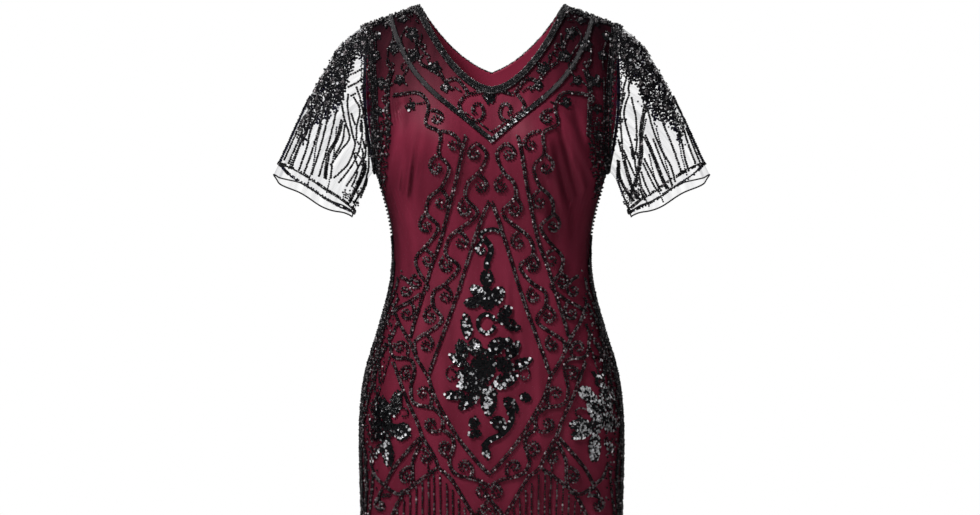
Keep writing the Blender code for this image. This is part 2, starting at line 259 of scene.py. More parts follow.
def panelGrid(side):
    rows = panelRows(side)
    n = side["halfColumns"]
    column = np.arange(-n, n + 1)
    share = np.sin(np.pi / 2 * np.abs(column) / n)
    centre, outerX, outerZ, bow, power = (rows[:, i : i + 1] for i in range(5))
    rise = (1 - bow) * share + bow * share**power
    grid = bodyPoint(side, outerX * share * np.sign(column), mix(centre, outerZ, rise))
    inSeam = np.abs(grid[:, :, 1]) < cut["seamLap"]
    grid[:, :, 1] = np.where(inSeam, side["facing"] * -cut["seamLap"], grid[:, :, 1])
    return grid


# meshes from grids of points
def gridNormals(grid, closed, outward):
    if closed:
        across = np.roll(grid, -1, 1) - np.roll(grid, 1, 1)
    else:
        across = np.gradient(grid, axis=1)
    return unit(np.cross(across, np.gradient(grid, axis=0))) * outward


def clothMesh(name, grid, material, outward, closed=False):
    rows, columns = grid.shape[:2]
    mesh = bpy.data.meshes.new(name)
    index = np.arange(rows * columns).reshape(rows, columns)
    following = np.roll(index, -1, 1) if closed else index[:, 1:]
    here = index if closed else index[:, :-1]
    quads = np.stack([here[:-1], here[1:], following[1:], following[:-1]], axis=-1)
    if outward < 0:
        quads = quads[..., ::-1]
    mesh.from_pydata(grid.reshape(-1, 3).tolist(), [], quads.reshape(-1, 4).tolist())
    # the map is the flat cut in metres, from the middle column and the upper edge
    wide = np.linalg.norm(np.diff(np.concatenate([grid, grid[:, :1]], 1), axis=1), axis=-1)
    tall = np.linalg.norm(np.diff(grid, axis=0), axis=-1)
    u = np.concatenate([np.zeros((rows, 1)), np.cumsum(wide, 1)], 1)
    u = u - u[:, columns // 2 : columns // 2 + 1]
    v = np.concatenate([np.zeros((1, columns)), np.cumsum(tall, 0)], 0)
    v = -np.concatenate([v, v[:, :1]], 1)
    corners = np.stack([u, v], -1)
    loops = np.stack([corners[:-1, :-1], corners[1:, :-1], corners[1:, 1:], corners[:-1, 1:]], 2)
    if not closed:
        loops = loops[:, : columns - 1]
    if outward < 0:
        loops = loops[:, :, ::-1]
    layer = mesh.uv_layers.new(name="cut")
    layer.data.foreach_set("uv", loops.reshape(-1).astype(np.float32))
    mesh.polygons.foreach_set("use_smooth", [True] * len(mesh.polygons))
    mesh.materials.append(material)
    piece = bpy.data.objects.new(name, mesh)
    bpy.context.scene.collection.objects.link(piece)
    return piece


def thicken(piece, amount, offset):
    wall = piece.modifiers.new("wall", "SOLIDIFY")
    wall.thickness = amount
    wall.offset = offset
    wall.use_even_offset = False
    wall.use_rim = True
    return piece


# materials, with small groups for masks and heights


def shaderGroup(name, inputs, outputs):
    group = bpy.data.node_groups.new(name, "ShaderNodeTree")
    for way, labels in (("INPUT", inputs), ("OUTPUT", outputs)):
        for label in labels:
            kind = "NodeSocketVector" if label == "UV" else "NodeSocketFloat"
            group.interface.new_socket(name=label, in_out=way, socket_type=kind)
    return group, group.nodes.new("NodeGroupInput"), group.nodes.new("NodeGroupOutput")


def mathNode(tree, operation, first, second=None, third=None, clamp=False):
    node = tree.nodes.new("ShaderNodeMath")
    node.operation = operation
    node.use_clamp = clamp
    for socket, value in zip(node.inputs, (first, second, third)):
        if value is None:
            continue
        if isinstance(value, (int, float)):
            socket.default_value = value
        else:
            tree.links.new(value, socket)
    return node.outputs[0]


def splitNode(tree, vector):
    node = tree.nodes.new("ShaderNodeSeparateXYZ")
    tree.links.new(vector, node.inputs[0])
    return node.outputs


def noiseNode(tree, vector, scale, detail):
    node = tree.nodes.new("ShaderNodeTexNoise")
    node.inputs["Scale"].default_value = scale
    node.inputs["Detail"].default_value = detail
    tree.links.new(vector, node.inputs["Vector"])
    return node.outputs[0]


def netHolesGroup():
    # two crossing sets of threads make the diamond holes of fine net
    slant, thinness = 0.8, 0.9
    group, given, result = shaderGroup("netHoles", ("UV", "Pitch", "Thread"), ("Cover",))
    split = splitNode(group, given.outputs["UV"])
    threads = []
    for sign in (1.0, -1.0):
        slanted = mathNode(group, "MULTIPLY_ADD", split[1], slant * sign, split[0])
        waves = mathNode(group, "DIVIDE", slanted, given.outputs["Pitch"])
        waves = mathNode(group, "MULTIPLY", waves, math.pi)
        waves = mathNode(group, "ABSOLUTE", mathNode(group, "SINE", waves))
        threads.append(mathNode(group, "POWER", mathNode(group, "SUBTRACT", 1.0, waves), thinness))
    together = mathNode(group, "MAXIMUM", threads[0], threads[1])
    cover = mathNode(group, "MULTIPLY", together, given.outputs["Thread"])
    group.links.new(cover, result.inputs["Cover"])
    return group


def clothGrainGroup():
    # a plain weave, and slow clouds of lighter and darker dye
    group, given, result = shaderGroup("clothGrain", ("UV", "Pitch"), ("Height", "Cloud"))
    split = splitNode(group, given.outputs["UV"])
    waves = []
    for axis in (0, 1):
        turns = mathNode(group, "DIVIDE", split[axis], given.outputs["Pitch"])
        waves.append(mathNode(group, "SINE", mathNode(group, "MULTIPLY", turns, math.pi * 2)))
    group.links.new(mathNode(group, "MULTIPLY", waves[0], waves[1]), result.inputs["Height"])
    group.links.new(noiseNode(group, given.outputs["UV"], 14.0, 3.0), result.inputs["Cloud"])
    return group


def paintedGatherShadeGroup():
    # soft lengthwise streaks of denser net: painted shade of the gathers, where the net also lies in more than one
    # layer
    contrast, offset = 2.2, -0.6
    group, given, result = shaderGroup("paintedGatherShade", ("UV", "Across", "Along"), ("Fold",))
    split = splitNode(group, given.outputs["UV"])
    stretched = group.nodes.new("ShaderNodeCombineXYZ")
    for k, label in enumerate(("Across", "Along")):
        group.links.new(mathNode(group, "MULTIPLY", split[k], given.outputs[label]), stretched.inputs[k])
    noise = noiseNode(group, stretched.outputs[0], 1.0, 2.0)
    group.links.new(mathNode(group, "MULTIPLY_ADD", noise, contrast, offset, clamp=True), result.inputs["Fold"])
    return group


netHoles, clothGrain, paintedGatherShade = netHolesGroup(), clothGrainGroup(), paintedGatherShadeGroup()


def newMaterial(name, colour, roughness, specular=0.5):
    material = bpy.data.materials.new(name)
    material.use_nodes = True
    shader = material.node_tree.nodes["Principled BSDF"]
    shader.inputs["Base Color"].default_value = (*colour, 1.0)
    shader.inputs["Roughness"].default_value = roughness
    shader.inputs["Metallic"].default_value = 0.0
    shader.inputs["Specular IOR Level"].default_value = specular
    return material, shader


def addGroup(tree, group, uv, **values):
    node = tree.nodes.new("ShaderNodeGroup")
    node.node_tree = group
    tree.links.new(uv, node.inputs["UV"])
    for key, value in values.items():
        node.inputs[key].default_value = value
    return node


def addBump(tree, shader, height, look):
    node = tree.nodes.new("ShaderNodeBump")
    node.inputs["Strength"].default_value = look["bump"]
    node.inputs["Distance"].default_value = look["bumpHeight"]
    tree.links.new(height, node.inputs["Height"])
    tree.links.new(node.outputs[0], shader.inputs["Normal"])


def mixColour(tree, factor, first, second):
    node = tree.nodes.new("ShaderNodeMix")
    node.data_type = "RGBA"
    tree.links.new(factor, node.inputs[0])
    for socket, colour in ((node.inputs[6], first), (node.inputs[7], second)):
        if isinstance(colour, tuple):
            socket.default_value = (*colour, 1.0)
        else:
            tree.links.new(colour, socket)
    return node.outputs[2]


def makeLiningMaterial():
    look = {"dark": (0.215, 0.0185, 0.044), "light": (0.262, 0.025, 0.058), "roughness": 0.5, "specular": 0.12,
            "pitch": 0.0006, "cloud": (2.0, -0.5), "bump": 0.08, "bumpHeight": 0.0002}
    material, shader = newMaterial("burgundyLining", look["dark"], look["roughness"], look["specular"])
    tree = material.node_tree
    uv = tree.nodes.new("ShaderNodeUVMap").outputs[0]
    grain = addGroup(tree, clothGrain, uv, Pitch=look["pitch"])
    spread = mathNode(tree, "MULTIPLY_ADD", grain.outputs["Cloud"], *look["cloud"], clamp=True)
    tree.links.new(mixColour(tree, spread, look["dark"], look["light"]), shader.inputs["Base Color"])
    addBump(tree, shader, grain.outputs["Height"], look)
    return material


netLook = {"pitch": 0.0019, "roughness": 0.8, "specular": 0.0, "yokeSlant": 0.5, "yokeRise": (7.5, 0.85)}


def makeNetMaterial(name, look):
    # the net is painted darker where the cloth turns away to the side of the front view: painted side shade, which also
    # stands for its threads lying over each other there
    material, shader = newMaterial(name, look["colour"], netLook["roughness"], netLook["specular"])
    tree = material.node_tree
    uv = tree.nodes.new("ShaderNodeUVMap").outputs[0]
    holes = addGroup(tree, netHoles, uv, Pitch=netLook["pitch"], Thread=look["thread"])
    normal = splitNode(tree, tree.nodes.new("ShaderNodeNewGeometry").outputs["Normal"])
    facing = mathNode(tree, "ABSOLUTE", normal[1])
    paintedSideShade = mathNode(tree, "POWER", mathNode(tree, "SUBTRACT", 1.0, facing), look["power"])
    folds = addGroup(tree, paintedGatherShade, uv, Across=look["across"], Along=look["along"])
    cover = mathNode(tree, "ADD", holes.outputs["Cover"], look["cover"])
    cover = mathNode(tree, "MULTIPLY_ADD", folds.outputs["Fold"], look["folds"], cover)
    if look["yoke"]:  # darker towards the shoulders, higher up and further out
        spot = splitNode(tree, tree.nodes.new("ShaderNodeTexCoord").outputs["Object"])
        rise = mathNode(tree, "MULTIPLY_ADD", mathNode(tree, "ABSOLUTE", spot[0]), netLook["yokeSlant"], spot[2])
        darkerTowardsShoulders = mathNode(tree, "MULTIPLY_ADD", rise, *netLook["yokeRise"], clamp=True)
        cover = mathNode(tree, "MULTIPLY_ADD", darkerTowardsShoulders, look["yoke"], cover)
    alpha = mathNode(tree, "MULTIPLY_ADD", paintedSideShade, look["paintedSideShade"], cover, clamp=True)
    tree.links.new(alpha, shader.inputs["Alpha"])
    return material


def makeBeadMaterial(name, look):
    # each bead's colour lies between black glass and a painted highlight, by the glint painted on it
    material, shader = newMaterial(name, look["black"], look["roughness"], look["specular"])
    tree = material.node_tree
    paintedGlint = tree.nodes.new("ShaderNodeAttribute")
    paintedGlint.attribute_name = "paintedGlint"
    tree.links.new(mixColour(tree, paintedGlint.outputs["Fac"], look["black"], look["bright"]), shader.inputs["Base Color"])
    metal = mathNode(tree, "MULTIPLY", paintedGlint.outputs["Fac"], look["metal"])
    tree.links.new(metal, shader.inputs["Metallic"])
    return material


def makeBandMaterial(name, look):
    # ribbed black cloth that turns to dark tape above a height, lightened to grey with the painted sheen of satin
    material, shader = newMaterial(name, look["dark"], look["roughness"], look["specular"])
    tree = material.node_tree
    uv = tree.nodes.new("ShaderNodeUVMap").outputs[0]
    grain = addGroup(tree, clothGrain, uv, Pitch=look["pitch"])
    height = mathNode(tree, "MULTIPLY_ADD", grain.outputs["Height"], 0.5, 0.5, clamp=True)
    cloth = mixColour(tree, height, look["dark"], look["light"])
    spot = splitNode(tree, tree.nodes.new("ShaderNodeTexCoord").outputs["Object"])
    slope = look["satinSlope"]
    above = mathNode(tree, "MULTIPLY_ADD", spot[2], slope, -slope * look["satinFrom"], clamp=True)
    satinPaintedSheen = mixColour(tree, grain.outputs["Cloud"], look["satinPaintedSheenDark"], look["satinPaintedSheenLight"])
    tree.links.new(mixColour(tree, above, cloth, satinPaintedSheen), shader.inputs["Base Color"])
    addBump(tree, shader, grain.outputs["Height"], look)
    return material


liningMaterial = makeLiningMaterial()
bodyNetMaterial = makeNetMaterial("blackNetBody", {
    "colour": (0.003, 0.003, 0.004), "thread": 0.26, "cover": 0.0, "paintedSideShade": 0.62, "power": 1.5,
    "across": 40.0, "along": 6.0, "folds": 0.16, "yoke": 0.47})
# the sleeve net's blue lift on black is painted reflection off its threads
sleeveNetMaterial = makeNetMaterial("blackNetSleeve", {
    "colour": (0.022, 0.022, 0.070), "thread": 0.09, "cover": -0.12, "paintedSideShade": 0.20, "power": 2.2,
    "across": 90.0, "along": 7.0, "folds": 0.30, "yoke": 0.0})
beadMaterial = makeBeadMaterial("blackSeedBeads", {
    "black": (0.004, 0.004, 0.005), "bright": (0.62, 0.55, 0.57), "roughness": 0.28, "specular": 0.12, "metal": 0.35})
sequinMaterial = makeBeadMaterial("blackSequins", {
    "black": (0.004, 0.004, 0.005), "bright": (0.95, 0.95, 0.98), "roughness": 0.25, "specular": 0.10, "metal": 0.05})
bandLook = {
    "dark": (0.003, 0.003, 0.004), "light": (0.022, 0.021, 0.023), "roughness": 0.45, "specular": 0.2,
    "pitch": 0.0016, "bump": 0.5, "bumpHeight": 0.0005,
    "satinPaintedSheenDark": (0.014, 0.013, 0.014), "satinPaintedSheenLight": (0.040, 0.038, 0.041), "satinFrom": 9.0, "satinSlope": 60.0}
bandMaterial = makeBandMaterial("beadedBandCloth", bandLook)
trimMaterial = makeBandMaterial("satinTrimPaintedSheen", {**bandLook, "satinFrom": -0.128})
edgeMaterial, _ = newMaterial("blackEdgeThread", (0.006, 0.006, 0.007), 0.6, specular=0.2)
print("materials are ready")

# the cloth of the body; each layer lies this far out from the lining
layers = {"net": 0.0012, "band": 0.0019, "bandWall": 0.0009, "liningWall": 0.0008, "overSleeve": 0.0004}
neckRows, middleRows, trimRows = panelSteps["yoke"][:3]
yokeRow = neckRows + middleRows
bodyBands = (("neck_band_", 0, neckRows, bandMaterial), ("yoke_trim_", yokeRow, yokeRow + trimRows, trimMaterial))
for side, area in ((front, 0.495), (back, 0.513)):
    name = side["name"]
    grid = panelGrid(side)
    sign = -side["facing"]
    normals = gridNormals(grid, False, -sign)
    lining = thicken(clothMesh("lining_" + name + "_cloth", grid, liningMaterial, sign), layers["liningWall"], -1)
    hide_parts("lining_" + name)
    net = clothMesh("net_" + name + "_cloth", grid + normals * layers["net"], bodyNetMaterial, sign)
    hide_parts("net_" + name)
    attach(lining, "root")
    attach(net, "root")
    over = grid + normals * layers["band"]
    for label, first, last, material in bodyBands:
        band = clothMesh(label + name + "_cloth", over[first : last + 1], material, sign)
        thicken(band, layers["bandWall"], 1)
        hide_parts(label + name)
        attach(band, "root")
print("body cloth is made")

# the sleeves, each a tube from the armhole to the cuff; creases are turn, width and depth
sleeve = {
    "cuffCentre": np.array([0.2760, -0.002, -0.2750]),
    "halfWidth": 0.0680, "halfDepth": 0.047,
    "lean": math.radians(25.2), "rise": 0.009,
    "capReach": 0.68, "capFlare": -0.2, "underarmFall": -0.35,
    "gap": 0.0006, "underarmGap": 0.0016,
    "creases": [(1.3, 0.40, -0.003), (2.2, 0.40, 0.012), (4.1, 0.40, 0.012), (5.0, 0.40, -0.003),
                (1.75, 0.12, 0.004), (2.55, 0.14, -0.004), (0.85, 0.12, 0.002), (4.5, 0.13, 0.004)],
    "cuffWaves": 9, "cuffWave": 0.0016, "edgeWaves": 5, "edgeWave": 0.0022,
    "columns": 120, "rows": 60,
}


def armholePoint(turn):
    # round from the shoulder, down over the front half and up over the back half
    turn = np.mod(turn, 2 * np.pi)
    share = np.where(turn <= np.pi, turn / np.pi, 2 - turn / np.pi)
    edges = []
    for side in (front, back):
        x, z = armholeEdge(side, share)
        edges.append(bodyPoint(side, x, z - 1e-7))
    return np.where((turn <= np.pi)[..., None], *edges)


def sleevePoint(turn, share):
    turn, share = np.broadcast_arrays(np.asarray(turn, float), np.asarray(share, float))
    cosine, sine = np.cos(turn), np.sin(turn)
    lean = sleeve["lean"]
    across = np.array([math.cos(lean), 0.0, math.sin(lean)])
    arriving = np.array([math.sin(lean), 0.0, -math.cos(lean)])
    cuff = sleeve["cuffCentre"] + across * (sleeve["halfWidth"] * cosine)[..., None]
    cuff = cuff + np.stack([0 * sine, -sleeve["halfDepth"] * sine, sleeve["rise"] * sine], -1)
    under = (1 - cosine) / 2
    start = armholePoint(turn) + np.stack([mix(sleeve["gap"], sleeve["underarmGap"], under), 0 * sine, 0 * sine], -1)
    chord = np.linalg.norm(cuff - start, axis=-1, keepdims=True)
    fall = mix(-cut["slope"], sleeve["underarmFall"], under)
    leaving = unit(np.stack([1 + 0 * sine, sleeve["capFlare"] * sine, fall], -1))
    s = share[..., None]
    point = start * (1 - s) ** 3 + (start + leaving * chord * sleeve["capReach"] / 3) * 3 * s * (1 - s) ** 2
    point = point + (cuff - arriving * chord / 3) * 3 * s**2 * (1 - s) + cuff * s**3
    dent = sum(depth * np.exp(-(((turn - at) / width) ** 2)) for at, width, depth in sleeve["creases"])
    push = dent * sine * np.sin(np.pi * np.clip(share, 0.0, 1.0)) ** 0.7
    wave = sleeve["cuffWave"] * share**4 * np.sin(sleeve["cuffWaves"] * turn + 0.7)
    point = point + np.stack([0 * push, push - wave * sine, 0 * push], -1)
    point = point + across * (wave * cosine)[..., None]
    ripple = sleeve["edgeWave"] * share**6 * np.sin(sleeve["edgeWaves"] * turn + 1.1)
    return point - arriving * ripple[..., None]


def sleeveNormal(turn, share):
    turnStep, shareStep = 0.02, 0.01
    high, low = np.minimum(share + shareStep, 1.0), np.maximum(share - shareStep, 0.0)
    around = sleevePoint(turn + turnStep, share) - sleevePoint(turn - turnStep, share)
    return unit(np.cross(around, sleevePoint(turn, high) - sleevePoint(turn, low)))


flip = np.array([-1.0, 1.0, 1.0])  # from the wearer's left to the right
turns = np.arange(sleeve["columns"]) * 2 * np.pi / sleeve["columns"]
shares = np.linspace(0, 1, sleeve["rows"] + 1) ** 1.1
sleeveGrid = sleevePoint(turns[None, :], shares[:, None])
chords = np.linalg.norm(sleeveGrid[-1] - sleeveGrid[0], axis=-1)
bandGrid = sleevePoint(turns[None, :], np.linspace(0, 1, 4)[:, None] * cut["armholeBand"] / chords[None, :])
for name, mirror in (("left", 1), ("right", -1)):
    turned = flip if mirror < 0 else 1
    cloth = clothMesh("sleeve_" + name + "_net", sleeveGrid * turned, sleeveNetMaterial, -mirror, closed=True)
    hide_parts("sleeve_" + name)
    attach(cloth, "root")
    strip = bandGrid * turned
    strip = strip + gridNormals(strip, True, mirror) * layers["overSleeve"]
    band = clothMesh("armhole_band_" + name + "_cloth", strip, bandMaterial, -mirror, closed=True)
    thicken(band, layers["bandWall"], 1)
    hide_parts("armhole_band_" + name)
    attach(band, "root")
print("sleeves are made")

# beadwork: strings of beads and patches of sequins, each named by its place across and down the front or back
bead = {
    "radius": 0.00172, "pitch": 0.0034, "rowGap": 0.0031, "lift": 0.0023, "apart": 0.0024, "jitter": 0.0002,
    "glint": 0.17, "dullShare": 2.4, "dull": (0.04, 0.22), "brightShare": 0.14, "bright": (0.35, 0.75), "black": 0.004}
sequin = {
    "radius": 0.0021, "pitch": 0.0026, "cup": 0.0005, "lift": 0.0026, "spreadLift": 0.0009, "apart": 0.0017,
    "tilt": 0.30, "tiltSpread": 0.10, "rollSpread": 0.22, "jitter": 0.0005,
    "glint": (0.1, 0.6), "black": 0.003, "glowReach": 0.92, "glowShare": 0.52}
# the beaded pattern sits a little to the wearer's right
design = {"lean": 0.0035, "leanTop": -0.20, "leanRun": 0.15, "yokeLean": 0.010}
fields = ("places", "normals", "sizes", "paintedGlints")
banks = {}  # the beads and sequins of each piece


def addTo(name, kind, *values):
    bank = banks.setdefault(name, {"kind": kind, **{key: [] for key in fields}})
    for key, value in zip(fields, values):
        bank[key].append(np.asarray(value, float))


def onPanel(side):
    def place(path):
        return bodyPoint(side, path[:, 0], path[:, 1]), bodyNormal(side, path[:, 0], path[:, 1])

    return place


def onSleeve(mirror):
    turned = flip if mirror < 0 else 1

    def place(path):
        points, normals = sleevePoint(path[:, 0], path[:, 1]), sleeveNormal(path[:, 0], path[:, 1])
        return points * turned, normals * turned

    return place


onFront, onBack = onPanel(front), onPanel(back)


def smoothPath(points, step=0.0015):
    # a smooth curve through all the points
    points = np.asarray(points, float)
    padded = np.concatenate([[2 * points[0] - points[1]], points, [2 * points[-1] - points[-2]]])
    out = []
    for k in range(len(points) - 1):
        p0, p1, p2, p3 = padded[k : k + 4]
        count = max(2, int(np.linalg.norm(p2 - p1) / step))
        s = (np.arange(count) / count)[:, None]
        square, cube = 2 * p0 - 5 * p1 + 4 * p2 - p3, 3 * p1 - p0 - 3 * p2 + p3
        out.append(0.5 * (2 * p1 + (p2 - p0) * s + square * s**2 + cube * s**3))
    return np.concatenate(out + [points[-1:]])


def soften(path, reach=5):
    # takes the corners out of a path, and leaves its ends where they are
    padded = np.concatenate([2 * path[:1] - path[reach:0:-1], path, 2 * path[-1:] - path[-2 : -reach - 2 : -1]])
    return sum(padded[k : k + len(path)] for k in range(2 * reach + 1)) / (2 * reach + 1)


def mm(*rows):
    return np.array(rows, float) / 1000


def mirrorPath(path, lean=True):
    shift = 2 * design["lean"] * smoothStep((design["leanTop"] - path[:, 1]) / design["leanRun"]) if lean else 0
    return np.stack([-path[:, 0] - shift, path[:, 1]], -1)


def bothSides(paths, lean=True):
    return [path for given in paths for path in (given, mirrorPath(given, lean))]


def glass(count, glint):
    # black glass with painted highlights: many beads get a dull painted spark and a few a bright one
    dull = chance.random(count) < bead["dullShare"] * glint
    paintedGlints = np.where(dull, chance.uniform(*bead["dull"], count), chance.uniform(0, bead["black"], count))
    bright = chance.random(count) < bead["brightShare"] * glint
    return np.where(bright, chance.uniform(*bead["bright"], count), paintedGlints)


def spaced(values, run, count, row):
    # evenly spaced along a path, half a step further on in every other row
    at = (np.arange(count) + 0.25 + 0.5 * (row % 2)) / count * run[-1]
    return np.stack([np.interp(at, run, column) for column in values.T], -1)


def strand(name, place, path, rows=2, pitch=bead["pitch"], gap=bead["rowGap"], size=bead["radius"],
           lift=bead["lift"], glint=bead["glint"], jitter=bead["jitter"]):
    # rows of beads side by side
    points, normals = place(path)
    run = np.concatenate([[0], np.cumsum(np.linalg.norm(np.diff(points, axis=0), axis=1))])
    count = int(run[-1] / pitch)
    if count < 2:
        return
    for row in range(rows):
        spots, up = spaced(points, run, count, row), unit(spaced(normals, run, count, row))
        across = unit(np.cross(up, np.gradient(spots, axis=0)))
        spots = spots + across * (row - (rows - 1) / 2) * gap + up * lift
        spots = spots + chance.normal(0, jitter, spots.shape)
        addTo(name, "beads", spots, up, size * chance.uniform(0.92, 1.06, count), glass(count, glint))


def scatter(name, place, spots, lift=bead["lift"], glint=bead["glint"]):
    points, normals = place(spots)
    sizes = bead["radius"] * chance.uniform(0.9, 1.1, len(spots))
    addTo(name, "beads", points + normals * lift, normals, sizes, glass(len(spots), glint))


def curl(centre, start, away, turns=1.3, mid=0.0095, inner=0.0018):
    # winds in from its start round the centre, first towards the side that away gives
    arm = start - centre
    reach, angle = math.hypot(*arm), math.atan2(arm[1], arm[0])
    way = 1 if arm[0] * away[1] - arm[1] * away[0] > 0 else -1
    phi = np.linspace(0, turns * 2 * np.pi, int(turns * 60))
    radius = inner + (mid - inner) * (1 - phi / phi[-1]) ** 0.8 + (reach - mid) * np.exp(-phi / 0.75)
    return centre + np.stack([np.cos(angle + way * phi), np.sin(angle + way * phi)], -1) * radius[:, None]


def vine(rows, start, end, bulge=0.0190):
    # a wavy stem with a curl in the hollow of each wave
    # each row is a curl: x, z, the stem's side, and how its arm leans and reaches
    rows = np.asarray(rows, float)
    centres, lean, reach = rows[:, :2] / 1000, np.radians(rows[:, 3]), rows[:, 4:] / 1000
    nodes = centres + np.stack([np.sin(lean), np.cos(lean)], -1) * reach
    along = unit(np.concatenate([nodes[1:], end[:1]]) - nodes)
    beside = np.stack([along[:, 1], -along[:, 0]], -1)
    beside = beside * np.sign(beside[:, :1]) * rows[:, 2:3]
    knots = list(start)
    for node, centre, outward in zip(nodes, centres, beside):
        knots += [node, centre + outward * bulge]
    coils = [curl(centre, node, -outward) for centre, node, outward in zip(centres, nodes, beside)]
    return [soften(smoothPath(knots + list(end)))] + coils


def branch(stem, curls):
    # a stem drawn point by point, with curls: centre, where each leaves the stem, and the side it turns to
    coils = [curl(np.array(c) / 1000, np.array(n) / 1000, np.array(a, float)) for c, n, a in curls]
    return [soften(smoothPath(stem), 4)] + coils


def laySequins(name, place, spots, heading, glow=None, glints=0.02, shine=(0.6, 1.0)):
    # glow lists the patches painted bright as reflected flashes: x, z and radius; glints is the share of single sequins
    # with a painted spark
    points, normals = place(spots)
    ahead, _ = place(spots + heading * 0.001)
    forward = unit(ahead - points)
    count = len(spots)
    tilt = sequin["tilt"] + chance.normal(0, sequin["tiltSpread"], (count, 1))
    roll = chance.normal(0, sequin["rollSpread"], (count, 1))
    faces = unit(normals + forward * tilt + np.cross(normals, forward) * roll)
    sparks = chance.random(count) < glints
    paintedGlints = np.where(sparks, chance.uniform(*sequin["glint"], count), chance.uniform(0, sequin["black"], count))
    if glow is not None:
        away = np.hypot(spots[:, None, 0] - glow[None, :, 0], spots[:, None, 1] - glow[None, :, 1])
        bright = (away < sequin["glowReach"] * glow[None, :, 2]).any(1) & (chance.random(count) < sequin["glowShare"])
        paintedGlints[bright] = chance.uniform(*shine, bright.sum())
    rise = sequin["lift"] + chance.uniform(0, sequin["spreadLift"], (count, 1))
    addTo(name, "sequins", points + normals * rise, faces, np.full(count, sequin["radius"]), paintedGlints)


def leaf(name, place, base, tip, width, glow=None, glints=0.02, shine=(0.6, 1.0), fullness=0.8):
    # overlapping sequins in an almond shape
    base, tip = np.asarray(base, float), np.asarray(tip, float)
    length = math.hypot(*(tip - base))
    axis = (tip - base) / length
    beside = np.array([-axis[1], axis[0]])
    spots = []
    for s in np.arange(0.4 * sequin["pitch"], length, sequin["pitch"] * 0.8):
        half = width / 2 * math.sin(math.pi * min(max(s / length, 0.04), 0.96)) ** fullness
        count = max(1, int(round(2 * half / sequin["pitch"])))
        for k in range(count):
            t = 0 if count == 1 else mix(-half, half, k / (count - 1)) * 0.86
            spots.append(base + axis * s + beside * t)
    spots = np.array(spots) + chance.normal(0, sequin["jitter"], (len(spots), 2))
    laySequins(name, place, spots, axis, glow, glints, shine)


def ribbon(name, place, path, rows=2, gap=0.0028, glow=None, glints=0.02):
    # lines of overlapping sequins side by side
    run = np.concatenate([[0], np.cumsum(np.hypot(*np.diff(path, axis=0).T))])
    count = max(2, int(run[-1] / sequin["pitch"]))
    for row in range(rows):
        spots = spaced(path, run, count, row)
        heading = unit(np.gradient(spots, axis=0))
        spots = spots + np.stack([-heading[:, 1], heading[:, 0]], -1) * (row - (rows - 1) / 2) * gap
        laySequins(name, place, spots, heading, glow, glints)


def flower(name, place, x, z, radius, petals=5, turn=0.0, glints=0.03, wide=0.6, beads=4):
    # petals of sequins round a few beads
    centre = np.array([x, z])
    for k in range(petals):
        a = turn + 2 * math.pi * k / petals
        out = np.array([math.cos(a), math.sin(a)])
        base, tip = centre + out * 0.2 * radius, centre + out * radius
        leaf("sequins_" + name, place, base, tip, radius * wide, glints=glints)
    angles = np.arange(beads) * 2 * math.pi / beads
    ring = [(x + 0.2 * radius * math.cos(a), z + 0.2 * radius * math.sin(a)) for a in angles]
    scatter("beads_" + name, place, np.array(ring), glint=0.45, lift=0.0036)


# the straight lines of the front: long rays, the diamond round the spray, and the chevrons under it
frontLines = {  # millimetres across and down, on the wearer's right half; rows of beads side by side
    "longRay": (2, mm((-39, -187), (-44.5, -210), (-53, -252), (-62, -287), (-77, -345), (-90, -382), (-104, -429),
                      (-116, -468), (-122, -490))),
    "innerRay": (2, mm((-3.5, -284), (-13, -306), (-22, -330), (-35, -371), (-51, -424), (-69, -475), (-94, -545))),
    "legTop": (2, mm((-150, -440), (-140, -467), (-124, -494), (-111, -522), (-95, -547))),
    "diamond": (2, mm((-95, -547), (-82, -583), (-53, -633), (-26, -668), (-3.5, -692))),
    "outerLeg": (2, mm((-148, -527), (-141, -545), (-134, -564), (-125, -587), (-117, -602), (-109, -620),
                       (-104, -636))),
    "midLeg": (2, mm((-104, -636), (-86, -665), (-78, -683), (-61, -698), (-46, -721), (-31, -746), (-3.5, -790))),
    "hipLeg": (2, mm((-104, -636), (-124, -658), (-146, -686), (-159, -711))),
    "hipCross": (2, mm((-182, -680), (-174, -700), (-159, -713), (-141, -724), (-122, -720))),
    "lowLeg": (2, mm((-78, -682), (-99, -696), (-126, -718), (-138, -734), (-148, -756), (-160, -792))),
}
for rows, path in frontLines.values():
    for path in bothSides([smoothPath(path)]):
        strand("beads_front_lines", onFront, path, rows)

